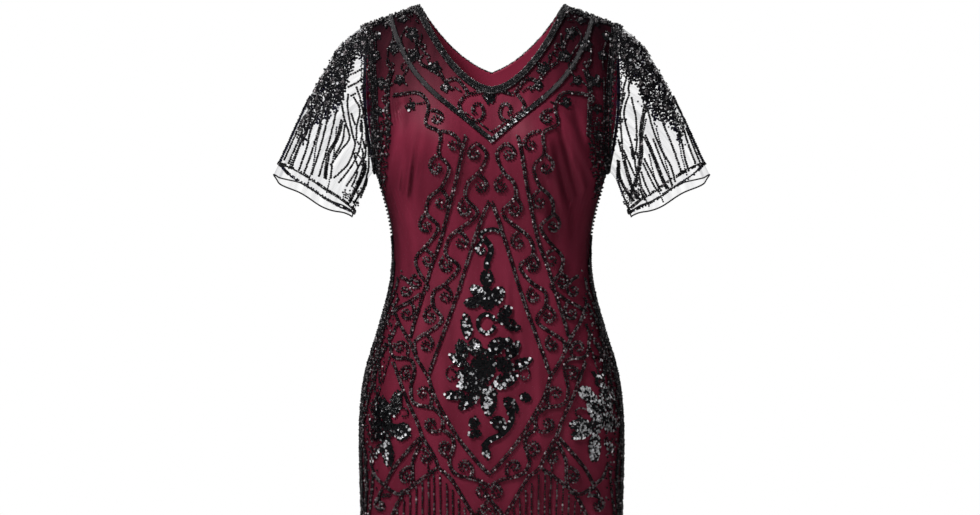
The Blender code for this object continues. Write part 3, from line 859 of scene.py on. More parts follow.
# the scroll vines of the front
frontVines = [
    vine([(-26, -215, 1, 15, 16.4), (-17, -262.5, -1, -14, 18), (-39, -298, 1, -3, 19), (-46, -347, -1, -19, 18.6),
          (-67, -382, 1, -8, 16.4), (-69.5, -428, -1, -8, 16.4), (-91.5, -459, 1, 12, 17), (-97.5, -501, -1, -6, 16.4)],
         mm(), mm((-106, -535))),
    vine([(-82, -162, -1, -45, 17.3), (-58, -201, -1, -45, 27), (-82, -235, 1, 8, 19.4), (-76, -287, -1, 0, 21),
          (-98, -322, 1, 0, 19.3), (-96, -374, -1, -18, 18.4), (-113, -408, 1, 18, 14.7),
          (-127.5, -454.5, -1, 17, 19.5)],
         mm((-149, -124), (-122, -121), (-109, -121), (-99.5, -130), (-94.5, -142)), mm((-124, -494))),
    branch(mm((-154, -487), (-150, -518), (-137, -521.5), (-122, -522), (-115, -536), (-119.5, -557), (-121, -565),
              (-117.5, -586.5), (-101, -592), (-86, -594), (-72, -610), (-73.5, -625.5), (-60, -634), (-56, -650.5),
              (-63.5, -673), (-54.5, -690.5), (-38, -696.5), (-16, -702), (-3.5, -712)),
           [((-137, -505.5), (-128, -521), (0.5, 1)), ((-128.7, -545), (-116, -536), (-1, 0.6)),
            ((-102.4, -572.6), (-92, -592), (0.3, 1)), ((-90, -618), (-75, -627), (-1, -0.3)),
            ((-68.5, -651.7), (-60, -666), (-1, -0.2)), ((-41, -680.6), (-31, -697), (0.6, 1)),
            ((-13, -718.4), (-3.5, -708), (-1, 0.3)), ((-130, -420), (-138, -398), (1, 0))]),
    branch(mm((-102.4, -638), (-111, -658), (-118, -675.5), (-118, -696), (-121, -712), (-136, -722), (-154, -721),
              (-159, -714.6), (-168, -728), (-166, -746)),
           [((-98.7, -668), (-108, -655), (1, 0.3)), ((-127.5, -698.3), (-118.5, -683), (-1, 0.2)),
            ((-165.2, -743.5), (-150, -727), (-1, 0.2))]),
    branch(mm((-3.5, -722), (-7, -734), (-16, -742)), [((-14, -752), (-4, -745), (-1, 0.2))]),
]
for paths in frontVines:
    for path in bothSides(paths):
        strand("beads_front_vines", onFront, path)

# the yoke: two scrolls with a small leaf between them, and small flowers on stems
yokeScrolls = [
    mm((-37.8, -124), (-48.4, -138.5), (-46.6, -149), (-39.5, -159.6), (-32, -165), (-20, -165), (-12.5, -157),
       (-13, -147), (-18, -139.5), (-26, -141), (-29, -151), (-24, -155)),
    mm((-72, -105.4), (-53.6, -100.6), (-38.5, -117.4), (-33.8, -124), (-20, -121), (-8, -118)),
]
for path in bothSides([smoothPath(path) for path in yokeScrolls]):
    strand("beads_yoke", onFront, path)
hubX, hubZ = -0.0035, -0.131
for degrees, length, width in ((90, 9, 7), (150, 11, 8), (30, 11, 8), (270, 9, 8), (200, 8, 6), (340, 8, 6)):
    a = math.radians(degrees)
    tip = (hubX + length * math.cos(a) / 1000, hubZ + length * math.sin(a) / 1000)
    leaf("sequins_yoke", onFront, (hubX, hubZ), tip, width / 1000)


def yokeShift(x, z):
    # the yoke's pattern lies nearer the middle on the wearer's left, below the shoulder
    return x - design["yokeLean"] * (x > 0.08) * smoothStep((-0.02 - z) / 0.06)


yokeFlowers = [  # x, z, radius
    (-121, -28, 9), (-119, -64, 9), (-86.5, -84, 9), (-70, -112, 8), (-136, -6, 8), (-147, -48, 10), (-176, -30, 8),
    (-176, -61, 8), (-139, -100, 7.5), (-168, -102, 9), (-122, -137, 8), (-170, -148, 8), (-172, -186, 8),
    (-160, -10, 7)]
for x, z, radius in yokeFlowers:
    for sign in (-1, 1):
        flower("yoke", onFront, yokeShift(sign * abs(x) / 1000, z / 1000), (z + chance.normal(0, 1.5)) / 1000,
               radius * 1.1 / 1000, turn=chance.uniform(0, 6), glints=0.015, wide=0.5, beads=5)
yokeCurls = [  # centre, the end of the arm
    ((-152, -76), (-158, -66)), ((-104, -50), (-113, -55)), ((-132, -82), (-127, -74)), ((-160, -128), (-157, -138)),
    ((-98, -66), (-109, -73))]
for ends in yokeCurls:
    for sign in (-1, 1):
        centre, start = (np.array([yokeShift(sign * abs(x) / 1000, z / 1000), z / 1000]) for x, z in ends)
        coil = curl(centre, start, np.array([sign * 1.0, 0.4]), turns=1.0, mid=0.0055)
        strand("beads_yoke", onFront, coil, 1, glint=0.14)
yokeStems = [  # rows, places
    (2, mm((-58, -118), (-69, -108), (-76, -95), (-83, -85), (-97, -82), (-109, -73), (-113, -55), (-115, -36),
           (-124, -20))),
    (1, mm((-46, -120), (-60, -112), (-72, -117), (-66, -104))),
    (3, mm((-151, -84), (-157, -105), (-158, -130), (-157, -155), (-155, -188))),
    (1, mm((-180, -96), (-180, -125), (-180, -150), (-177, -180), (-173, -215), (-174, -232))),
    (1, mm((-128, -108), (-140, -102), (-152, -108), (-158, -124))),
    (1, mm((-122, -129), (-121, -137), (-108, -138), (-96, -136))),
    (1, mm((-164, -166), (-166, -196), (-169, -228))),
    (1, mm((-154, -12), (-150, -36), (-158, -60), (-152, -84))),
    (1, mm((-128, -18), (-138, -36), (-131, -56), (-126, -80), (-136, -98))),
    (1, mm((-178, -30), (-176, -55), (-180, -85))),
    (1, mm((-106, -30), (-108, -50), (-98, -62), (-94, -80), (-80, -96))),
]
for rows, path in yokeStems:
    for path in bothSides([smoothPath(path)], lean=False):
        strand("beads_yoke", onFront, np.stack([yokeShift(path[:, 0], path[:, 1]), path[:, 1]], -1), rows, glint=0.13)

# the spray of sequin leaves down the middle of the front
spray = {
    "name": "sequins_spray_front", "glints": 0.05,
    "leaves": [  # base x, z, tip x, z, width
        (-7, -387, -7, -415, 19), (-10, -430, -32, -413, 17), (-1, -433, 18, -416, 18), (-11, -414, -4, -449, 26),
        (-15, -436, -41, -439, 16), (-24, -425, -26, -414, 14), (4, -428, 12, -441, 14), (12, -460, 28, -443, 17),
        (14, -465, 43, -477, 16), (10, -456, 22, -468, 16), (-40, -453, -35, -492, 16), (-40, -522, -48, -492, 18),
        (-26, -517, -25, -490, 20), (-2, -517, 14, -490, 23), (14, -506, 28, -490, 16), (22, -522, 41, -495, 18),
        (-34, -533, -63, -514, 15), (25, -536, 62, -521, 14), (-10, -506, -9, -557, 34), (-10, -544, -53, -544, 22),
        (-10, -557, -52, -560, 23), (-37, -576, -71, -574, 14), (-18, -571, -49, -595, 18), (1, -562, 38, -545, 23),
        (-5, -562, -4, -606, 25), (-24, -565, 9, -573, 16), (18, -579, 39, -601, 18), (41, -576, 58, -581, 13),
        (6, -522, 30, -538, 22), (-29, -522, -15, -538, 22), (-24, -606, -28, -625, 15), (-15, -630, -35, -634, 12),
        (-11, -650, -5, -669, 11), (2, -611, 14, -625, 14)],
    "lines": [  # rows, places
        (2, mm((12, -331), (5, -327), (-5, -328), (-14, -332), (-18, -341))),
        (2, mm((-14, -344), (-20, -351), (-22, -359), (-17, -364), (-11, -360), (-14, -355))),
        (3, mm((-11, -341), (-3, -351), (-1, -360), (-4, -369), (-7, -378), (-7, -387))),
        (3, mm((25, -598), (30, -608), (25, -621), (12, -634), (-3, -641), (-13, -652))),
        (2, mm((-2, -614), (8, -608), (16, -611), (18, -619), (10, -627)))],
    "ring": (-0.008, -0.469, 0.0125, 0.0140),
    "glow": [  # patches painted bright as reflected flashes: x, z, radius
        (-3, -403, 2.6), (-29, -415, 4), (-24, -413, 3), (-17, -419, 3.4), (-10, -422, 3), (-13, -432, 3.4),
        (2, -425, 3), (10, -418, 4), (14, -421, 3.6), (12, -433, 4), (-40, -438, 3), (28, -445, 3.4), (29, -450, 2.8),
        (-41, -454, 4), (-38, -465, 5), (-38, -473, 5), (-36, -483, 4.4), (-36, -491, 3.4), (-5, -455, 3.6),
        (2, -456, 3.6), (8, -454, 3), (-14, -475, 4.4), (-1, -471, 4), (-1, -477, 4), (-6, -484, 4), (14, -471, 3),
        (-24, -503, 4.6), (-25, -496, 3), (-2, -507, 3.6), (-33, -508, 3), (14, -496, 3), (22, -492, 3),
        (25, -491, 2.6), (40, -498, 3.4), (39, -504, 3), (-60, -518, 4.4), (-55, -526, 4), (-48, -530, 3.4),
        (43, -530, 3.6), (52, -526, 3.4), (59, -522, 3.6), (-46, -546, 5), (-49, -557, 5.6), (-44, -561, 4.6),
        (-43, -553, 4), (-65, -574, 5.6), (36, -547, 3), (30, -550, 3.6), (25, -553, 4), (18, -559, 5), (12, -561, 5),
        (5, -558, 4), (-2, -567, 5), (-10, -571, 5), (-14, -572, 4), (-6, -579, 5), (-5, -584, 6), (-9, -588, 4),
        (-11, -594, 4), (-3, -594, 4.4), (-7, -600, 4), (-32, -581, 3), (-24, -579, 3), (-37, -587, 2.6), (4, -530, 3),
        (33, -591, 3.4), (44, -580, 3.4), (-18, -607, 4), (-24, -608, 3.4), (13, -605, 4.4), (25, -614, 3.6),
        (14, -619, 3), (20, -623, 3), (1, -616, 3), (4, -625, 3), (8, -639, 3), (-2, -644, 2.6), (-9, -661, 4.4),
        (-6, -666, 3), (-17, -344, 3), (-13, -344, 3), (-20, -351, 3), (-21, -357, 3), (-19, -363, 3.4), (-13, -363, 3),
        (-11, -357, 3), (-17, -355, 2.6), (-7, -379, 2.4)]}
sprayGlow = np.array(spray["glow"]) / 1000
for baseX, baseZ, tipX, tipZ, width in np.array(spray["leaves"]) / 1000:
    leaf(spray["name"], onFront, (baseX, baseZ), (tipX, tipZ), width, sprayGlow, spray["glints"])
for rows, path in spray["lines"]:
    ribbon(spray["name"], onFront, smoothPath(path), rows, glow=sprayGlow, glints=spray["glints"])
ringTurn = np.linspace(0.3, 2 * np.pi - 0.2, 40)
ringX, ringZ, ringWide, ringTall = spray["ring"]
ringPath = np.stack([ringX + ringWide * np.cos(ringTurn), ringZ + ringTall * np.sin(ringTurn)], -1)
ribbon(spray["name"], onFront, ringPath, 2, gap=0.0032, glow=sprayGlow, glints=spray["glints"])
besideCurls = ((-0.002, 0.0165, 1.0, 0.012), (0.004, 0.010, -1.0, 0.006))  # arm x, arm z, side, mid radius
for sign in (-1, 1):  # bead scrolls beside the spray's widest leaves
    centre = np.array([-0.0055 + sign * 0.052, -0.5455])
    for armX, armZ, away, mid in besideCurls:
        coil = curl(centre, centre + [sign * armX, armZ], np.array([sign * away, 0.0]), turns=0.8, mid=mid)
        strand("beads_front_lines", onFront, coil, rows=1)

# a large flower on each hip; the bright patches and sparks of its sequins are painted reflections
hips = {
    "right": {
        "glints": 0.05, "shine": (0.6, 1.0),
        "leaves": [(-154, -621, -165, -578, 18), (-147, -608, -138, -569, 18), (-156, -608, -160, -588, 15),
                   (-145, -630, -119, -630, 26), (-157, -626, -185, -617, 16), (-157, -634, -185, -642, 19),
                   (-160, -611, -183, -596, 15), (-158, -639, -152, -685, 19), (-165, -651, -182, -679, 11),
                   (-151, -618, -151, -639, 28), (-141, -626, -130, -644, 18), (-171, -618, -176, -639, 18),
                   (-162, -596, -174, -583, 13)],
        "lines": [],
        "glow": [(-152, -581, 3), (-152, -586, 3), (-165, -573, 3), (-121, -628, 3), (-130, -637, 3.4),
                 (-135, -642, 3.4), (-139, -640, 2.8), (-161, -635, 3.8), (-157, -650, 4.6), (-158, -655, 3.6),
                 (-157, -664, 4), (-155, -670, 4), (-159, -671, 3), (-154, -679, 3.4), (-169, -664, 3.6),
                 (-173, -671, 3.4), (-179, -677, 3.6), (-144, -637, 2.6)]},
    "left": {
        "glints": 0.42, "shine": (0.3, 0.9),
        "leaves": [(147, -581, 132, -566, 19), (156, -614, 148, -574, 21), (158, -614, 166, -586, 17),
                   (170, -602, 166, -561, 14), (175, -602, 180, -571, 14), (165, -622, 183, -605, 17),
                   (170, -631, 192, -618, 16), (147, -621, 116, -620, 19), (147, -631, 118, -637, 16),
                   (154, -633, 153, -677, 19), (169, -643, 181, -665, 9), (152, -614, 158, -633, 25),
                   (172, -621, 186, -631, 16)],
        "lines": [(2, mm((151, -521), (160, -522), (169, -528), (171, -538), (169, -547), (162, -551), (155, -549),
                         (151, -542))),
                  (2, mm((158, -551), (157, -559), (162, -565)))],
        "glow": [(138, -567, 3.4), (134, -575, 3), (168, -562, 3.4), (166, -567, 3), (178, -581, 3.4), (183, -583, 3),
                 (175, -592, 4), (180, -575, 3), (150, -579, 4), (152, -586, 4.4), (149, -598, 4.4), (152, -606, 4),
                 (158, -612, 4), (145, -594, 3.6), (170, -619, 4), (178, -612, 4), (180, -607, 3.4), (174, -625, 3),
                 (131, -621, 4.4), (123, -619, 3.6), (139, -622, 3.4), (142, -628, 3), (129, -642, 4.4), (123, -643, 4),
                 (135, -641, 3.6), (152, -652, 3.4), (150, -662, 4), (154, -672, 3.8), (158, -664, 3.4),
                 (157, -649, 3.4), (148, -670, 3), (172, -651, 3.4), (174, -653, 3), (180, -662, 3), (163, -525, 3.4),
                 (164, -529, 2.8), (163, -550, 3.4), (158, -549, 3), (166, -546, 2.6), (152, -637, 3)]},
}
for label, look in hips.items():
    glow = np.array(look["glow"]) / 1000
    name = "sequins_hip_" + label
    for baseX, baseZ, tipX, tipZ, width in np.array(look["leaves"]) / 1000:
        leaf(name, onFront, (baseX, baseZ), (tipX, tipZ), width, glow, look["glints"], look["shine"], 0.6)
    for rows, path in look["lines"]:
        ribbon(name, onFront, smoothPath(path), rows, glow=glow)
for sign in (-1, 1):
    centre, start = np.array([sign * 0.131, -0.603]), np.array([sign * 0.140, -0.598])
    coil = curl(centre, start, np.array([sign * 0.3, 1.0]), turns=0.8, mid=0.0075, inner=0.004)
    strand("beads_front_lines", onFront, coil, rows=1)

# the skirt's straight stripes, from under the chevrons to the hem
hemEnd = cut["hemZ"] + 0.012


def stripes(name, place, columns, pitch):
    for x, top in columns:
        z = np.linspace(top, hemEnd, 160)
        sway = 0.0016 * np.sin((z + x) * 21)
        strand(name, place, np.stack([x + sway, z], -1), rows=1, pitch=pitch, size=0.0018, glint=0.12)


def hemLine(name, place, z):
    turn = np.linspace(-1.50, 1.50, 400)
    x = sectionValue("halfWidth", z + 0 * turn) * np.sin(turn)
    strand(name, place, np.stack([x, z + 0 * turn], -1))


frontStripes = []
frontTops = mm((-96, -668), (-87, -684), (-77.5, -694), (-68, -706), (-59, -716), (-50, -729), (-41, -742),
               (-32, -756), (-22, -768), (-12, -782), (-105, -702), (-114, -712), (-123, -722), (-132, -734),
               (-141, -748), (-150, -762), (-159, -776), (-168, -790))
for x, top in frontTops:
    frontStripes += [(x, top), (-x - 2 * design["lean"], top)]
stripes("beads_front_stripes", onFront, frontStripes + [(-design["lean"], -0.796)], 0.0037)

# rows of beads that run down the sides
sideLook = [  # degrees round from the front, top, foot, swing, rows
    (85, -0.335, hemEnd, 0.5, 3), (78, -0.372, hemEnd, 1, 3), (71, -0.400, -0.660, 3.5, 2),
    (65, -0.430, -0.590, 5, 2), (61, -0.470, -0.575, 4, 2), (75, -0.470, -0.600, 5.5, 2),
    (71, -0.660, hemEnd, 1.6, 3), (64, -0.690, hemEnd, 1.8, 2), (68, -0.500, -0.590, 6, 2), (56, -0.500, -0.560, 1, 1)]


def sideRows(name, place):
    for turn, top, foot, swing, wide in sideLook:
        z = np.linspace(top, foot, 260)
        angle = np.radians(turn) + swing * 0.02 * np.sin(z * 40 + turn)
        x = sectionValue("halfWidth", z) * np.sin(angle)
        for sign in (-1, 1):
            strand(name, place, np.stack([sign * x, z], -1), rows=wide, glint=0.11, jitter=0.0004)


def sideScatter(name, place, count=430):
    # loose beads round four heights; they also darken the sides, standing in for side shade
    z = chance.choice([-0.50, -0.61, -0.66, -0.86], count) + chance.normal(0, 0.045, count)
    z = np.clip(z, hemEnd, -0.39)
    x = sectionValue("halfWidth", z) * np.sin(np.radians(chance.uniform(58, 88, count)))
    for sign in (-1, 1):
        scatter(name, place, np.stack([sign * x, z], -1), glint=0.14)


def sideEdge(name, top, foot):
    # the beads that stand out along each side seam
    z = np.arange(foot, top, 0.0058)
    x = bodyPoint(front, sectionValue("halfWidth", z), z)[:, 0]
    for sign in (-1, 1):
        spots = np.stack([sign * (x + 0.0022), np.where(np.arange(len(z)) % 2, 0.0012, -0.0012), z], -1)
        normals = np.tile([sign * 1.0, 0, 0], (len(z), 1))
        addTo(name, "beads", spots, normals, bead["radius"] * chance.uniform(1.05, 1.25, len(z)), glass(len(z), 0.14))


sideRows("beads_front_sides", onFront)
sideScatter("beads_front_sides", onFront)
sideEdge("beads_side_seams", cut["underarmZ"] - 0.02, hemEnd)
hemLine("beads_front_stripes", onFront, hemEnd - 0.004)
hemLine("beads_back_stripes", onBack, hemEnd - 0.004)
print("the front's beadwork is laid out")

# the back, in the same language: long rays, scroll vines, a leaf spray and stripes
backLines = {
    "longRay": (2, mm((-30, -158), (-42, -230), (-60, -300), (-80, -372), (-104, -440), (-128, -496))),
    "innerRay": (2, mm((-3, -250), (-16, -300), (-32, -370), (-60, -450), (-95, -540))),
    "legTop": (2, mm((-146, -462), (-128, -496), (-110, -520), (-95, -540))),
    "diamond": (2, mm((-95, -540), (-78, -580), (-48, -630), (-22, -662), (0, -686))),
    "outerLeg": (2, mm((-152, -540), (-134, -570), (-118, -598), (-104, -628), (-84, -668), (-54, -712), (-26, -752),
                       (0, -784))),
    "hipLeg": (1, mm((-104, -630), (-128, -668), (-158, -716), (-180, -692))),
    "lowLeg": (2, mm((-84, -672), (-110, -712), (-138, -750), (-166, -790))),
}
for rows, path in backLines.values():
    for path in bothSides([smoothPath(path)], lean=False):
        strand("beads_back_lines", onBack, path, rows)
backVines = [
    vine([(-22, -186, 1, 10, 17), (-15, -232, -1, -12, 18), (-36, -272, 1, -5, 18), (-42, -320, -1, -12, 18),
          (-60, -362, 1, -8, 17), (-66, -408, -1, -8, 17), (-88, -446, 1, 8, 17),
          (-94, -492, -1, -6, 17)], mm(), mm((-104, -528))),
    vine([(-80, -148, -1, -40, 18), (-56, -188, -1, -45, 25), (-80, -226, 1, 6, 19), (-76, -276, -1, 0, 19),
          (-100, -314, 1, 0, 18), (-100, -364, -1, -12, 18), (-120, -402, 1, 10, 16), (-132, -450, -1, 10, 18)],
         mm((-146, -112), (-120, -110), (-104, -116), (-95, -130)), mm((-134, -492))),
    branch(mm((-156, -494), (-150, -520), (-136, -524), (-120, -532), (-122, -560), (-118, -588), (-98, -596),
              (-78, -610), (-74, -632), (-58, -648), (-62, -672), (-46, -694), (-22, -702), (0, -714)),
           [((-138, -508), (-129, -524), (0.5, 1)), ((-130, -548), (-118, -540), (-1, 0.6)),
            ((-104, -576), (-94, -595), (0.3, 1)), ((-91, -622), (-76, -630), (-1, -0.3)),
            ((-70, -655), (-62, -668), (-1, -0.2)), ((-42, -682), (-32, -699), (0.6, 1)),
            ((-12, -726), (-2, -716), (-1, 0.3))]),
]
for paths in backVines:
    for path in bothSides(paths, lean=False):
        strand("beads_back_vines", onBack, path)
backSpray = [  # base x, z, tip x, z, width; the leaves off the middle line come in pairs
    (0, -387, 0, -412, 18), (0, -414, 0, -452, 22), (0, -504, 0, -552, 28), (0, -562, 0, -608, 20),
    (0, -640, 0, -664, 11), (7, -427, 22, -414, 15), (12, -443, 34, -437, 12), (30, -452, 33, -492, 11),
    (14, -466, 44, -478, 11), (16, -526, 33, -494, 14), (8, -512, 15, -488, 16), (28, -528, 45, -499, 13),
    (32, -535, 58, -518, 12), (7, -550, 50, -546, 19), (28, -572, 62, -574, 12), (14, -572, 42, -597, 15),
    (8, -606, 24, -628, 12)]
for baseX, baseZ, tipX, tipZ, width in np.array(backSpray) / 1000:
    for sign in (-1, 1) if tipX else (1,):
        leaf("sequins_spray_back", onBack, (sign * baseX, baseZ), (sign * tipX, tipZ), width, glints=0.07)
for sign in (-1, 1):
    for baseX, baseZ, tipX, tipZ, width in np.array(hips["right"]["leaves"]) / 1000:
        leaf("sequins_hip_back", onBack, (sign * baseX, baseZ), (sign * tipX, tipZ), width, glints=0.10)
backStripes = []
backTops = mm((-98, -672), (-88, -690), (-78, -700), (-68, -712), (-58, -724), (-48, -738), (-38, -752), (-28, -764),
              (-18, -776), (-9, -788), (-108, -700), (-118, -714), (-128, -728), (-138, -742), (-148, -756),
              (-158, -770), (-168, -784))
for x, top in backTops:
    backStripes += [(x, top), (-x, top)]
stripes("beads_back_stripes", onBack, backStripes + [(0, -0.792)], 0.0043)
sideRows("beads_back_sides", onBack)
backFlowers = mm((-118, -30), (-104, -58), (-78, -84), (-50, -108), (-22, -118), (-150, -30), (-146, -66),
                 (-150, -104), (-126, -92), (-160, -140))
for x, z in backFlowers:
    for sign in (-1, 1):
        flower("yoke_back", onBack, sign * abs(x), z, 0.010, turn=chance.uniform(0, 6))
backStems = [
    mm((-10, -112), (-22, -118), (-36, -116), (-50, -108), (-64, -98), (-78, -84), (-92, -72), (-104, -58),
       (-112, -44), (-118, -30)),
    mm((-150, -20), (-146, -44), (-150, -66), (-144, -86), (-150, -104), (-156, -124), (-160, -140), (-162, -170),
       (-168, -200), (-172, -224)),
    mm((-104, -118), (-120, -104), (-134, -96), (-146, -66))]
for path in bothSides([smoothPath(path) for path in backStems], lean=False):
    strand("beads_yoke_back", onBack, path)
print("the back's beadwork is laid out")

# beads and sequins on the trims


def rowPath(rows, index, inset=0.0):
    # along a row of the panel, or that share of the way to the next one
    centre, outerX, outerZ, bow, power = (mix(a, b, inset) for a, b in zip(rows[index], rows[index + 1]))
    share = np.linspace(-0.985, 0.985, 400)
    s = np.abs(share)
    rise = (1 - bow) * s + bow * s**power
    return np.stack([outerX * share, mix(centre, outerZ, rise)], -1)


def between(path, low, high):
    return path[(path[:, 0] >= low) & (path[:, 0] <= high)]


trims = {
    "shoulderRows": (0.0022, 0.0050, 0.0078), "ridge": 34, "corner": 60, "armholeRows": (0.0010, 0.0040),
    "neckEdge": [  # from x, to x, glint share; the high ones are runs of painted highlights
        (-0.12, -0.064, 0.10), (-0.064, -0.002, 0.75), (-0.002, 0.044, 0.25), (0.044, 0.096, 0.95),
        (0.096, 0.12, 0.10)],
    # the trim's sequin patches painted bright as reflected flashes: x, z, radius
    "glow": mm((10, -184, 3), (18, -178, 3), (27, -172, 3), (36, -165, 2.6), (45, -159, 3), (54, -152, 3),
               (-3, -190, 2.4)),
}
for side in (front, back):
    place = onPanel(side)
    rows = panelRows(side)
    isFront = side is front
    inner, outer = rowPath(rows, 0, 0.3), rowPath(rows, 3, 0.6)
    if isFront:
        for low, high, glint in trims["neckEdge"]:
            strand("beads_neck_edge", place, between(inner, low, high), rows=1, pitch=0.0026, size=0.0011,
                   lift=0.0034, glint=glint)
    else:
        for lift in (0.0, 0.0016, 0.0032):  # the rim that shows over the front from inside
            strand("beads_neck_edge", place, rowPath(rows, 0), rows=1, pitch=0.0026, size=0.0015, lift=lift, glint=0.08)
    for row, inset in ((1, 0.2), (2, 0.3)):
        strand("beads_neck_edge", place, rowPath(rows, row, inset), rows=1, pitch=0.0030, size=0.0014, lift=0.0032,
               glint=0.06)
    strand("beads_neck_edge", place, outer, rows=1, pitch=0.0030, size=0.0013, lift=0.0034, glint=0.18)
    lower = between(rowPath(rows, yokeRow + 1, 0.5), -0.078, 0.078)
    glow, glint = (trims["glow"], 0.30) if isFront else (None, 0.05)
    ribbon("sequins_yoke_trim", place, between(lower, -1, 0.0), glints=0.03, gap=0.0032)
    ribbon("sequins_yoke_trim", place, between(lower, 0.0, 0.060), glow=glow, glints=glint, gap=0.0032)
    ribbon("sequins_yoke_trim", place, between(lower, 0.060, 1), glints=0.05, gap=0.0032)
    upper, foot = rowPath(rows, yokeRow), rowPath(rows, yokeRow + 2, 0.9)
    glinting = between(upper, -0.072, -0.003)
    strand("beads_yoke_edge", place, glinting, rows=1, pitch=0.0027, size=0.0009, lift=0.0034, glint=0.85)
    strand("beads_yoke_edge", place, upper, rows=1, pitch=0.0030, size=0.0011, lift=0.0026, glint=0.10)
    strand("beads_yoke_edge", place, foot, rows=1, pitch=0.0030, size=0.0012, lift=0.0026, glint=0.10)
    strand("beads_yoke_edge", place, between(rowPath(rows, yokeRow - 2, 0.2), -0.048, 0.048), rows=1)
    for sign in (-1, 1):
        # the beaded ridge along the shoulder seam
        x = np.linspace(cut["neckX"] - 0.001, cut["shoulderX"] - 0.002, 120)
        for drop in trims["shoulderRows"]:
            strand("beads_shoulders", place, np.stack([sign * x, shoulderHeight(x) - drop], -1), rows=1, size=0.0018,
                   glint=0.10, jitter=0.0006)
        at = chance.uniform(cut["neckX"], cut["shoulderX"] - 0.004, trims["ridge"]).repeat(4)
        spots = np.stack([sign * at, shoulderHeight(at) - chance.uniform(0.001, 0.010, len(at))], -1)
        scatter("beads_shoulders", place, spots + chance.normal(0, 0.0012, spots.shape), lift=0.0030, glint=0.10)
        # the dense corner where the neck band meets the shoulder
        corner = np.array([[sign * (cut["neckX"] + 0.005), cut["neckZ"] - 0.012]])
        spots = corner + chance.normal(0, 1, (trims["corner"], 2)) * [0.0045, 0.008]
        spots[:, 0] = sign * np.maximum(np.abs(spots[:, 0]), cut["neckX"] + 0.0015)
        spots[:, 1] = np.minimum(spots[:, 1], shoulderHeight(spots[:, 0]) - 0.002)
        scatter("beads_shoulders", place, spots, lift=0.0038, glint=0.10)
        # the body's side of the armhole seam
        x, z = armholeEdge(side, np.linspace(0.02, 0.98, 120))
        for inset in trims["armholeRows"]:
            strand("beads_armhole_seams", place, np.stack([sign * (x - inset), z], -1), rows=1, pitch=0.0032,
                   size=0.0018, lift=0.0012, glint=0.08)

# the dark dense patch of beads that runs from each underarm down the side, also standing in for the shade under the arm
for side, count in ((front, 620), (back, 360)):
    for sign in (-1, 1):
        z = chance.triangular(-0.285, -0.200, -0.150, count)
        share = np.clip((z + 0.300) / 0.125, 0.0, 1.0)
        x = mix(mix(0.165, 0.150, share), 0.190, chance.random(count) ** 0.8)
        x = np.minimum(x, np.where(z > cut["underarmZ"], 0.182, sectionValue("halfWidth", z) * 0.99))
        x = x - (0.011 if side is front and sign > 0 else 0) * chance.random(count)
        scatter("beads_underarm", onPanel(side), np.stack([sign * x, z], -1), lift=0.0022, glint=0.07)

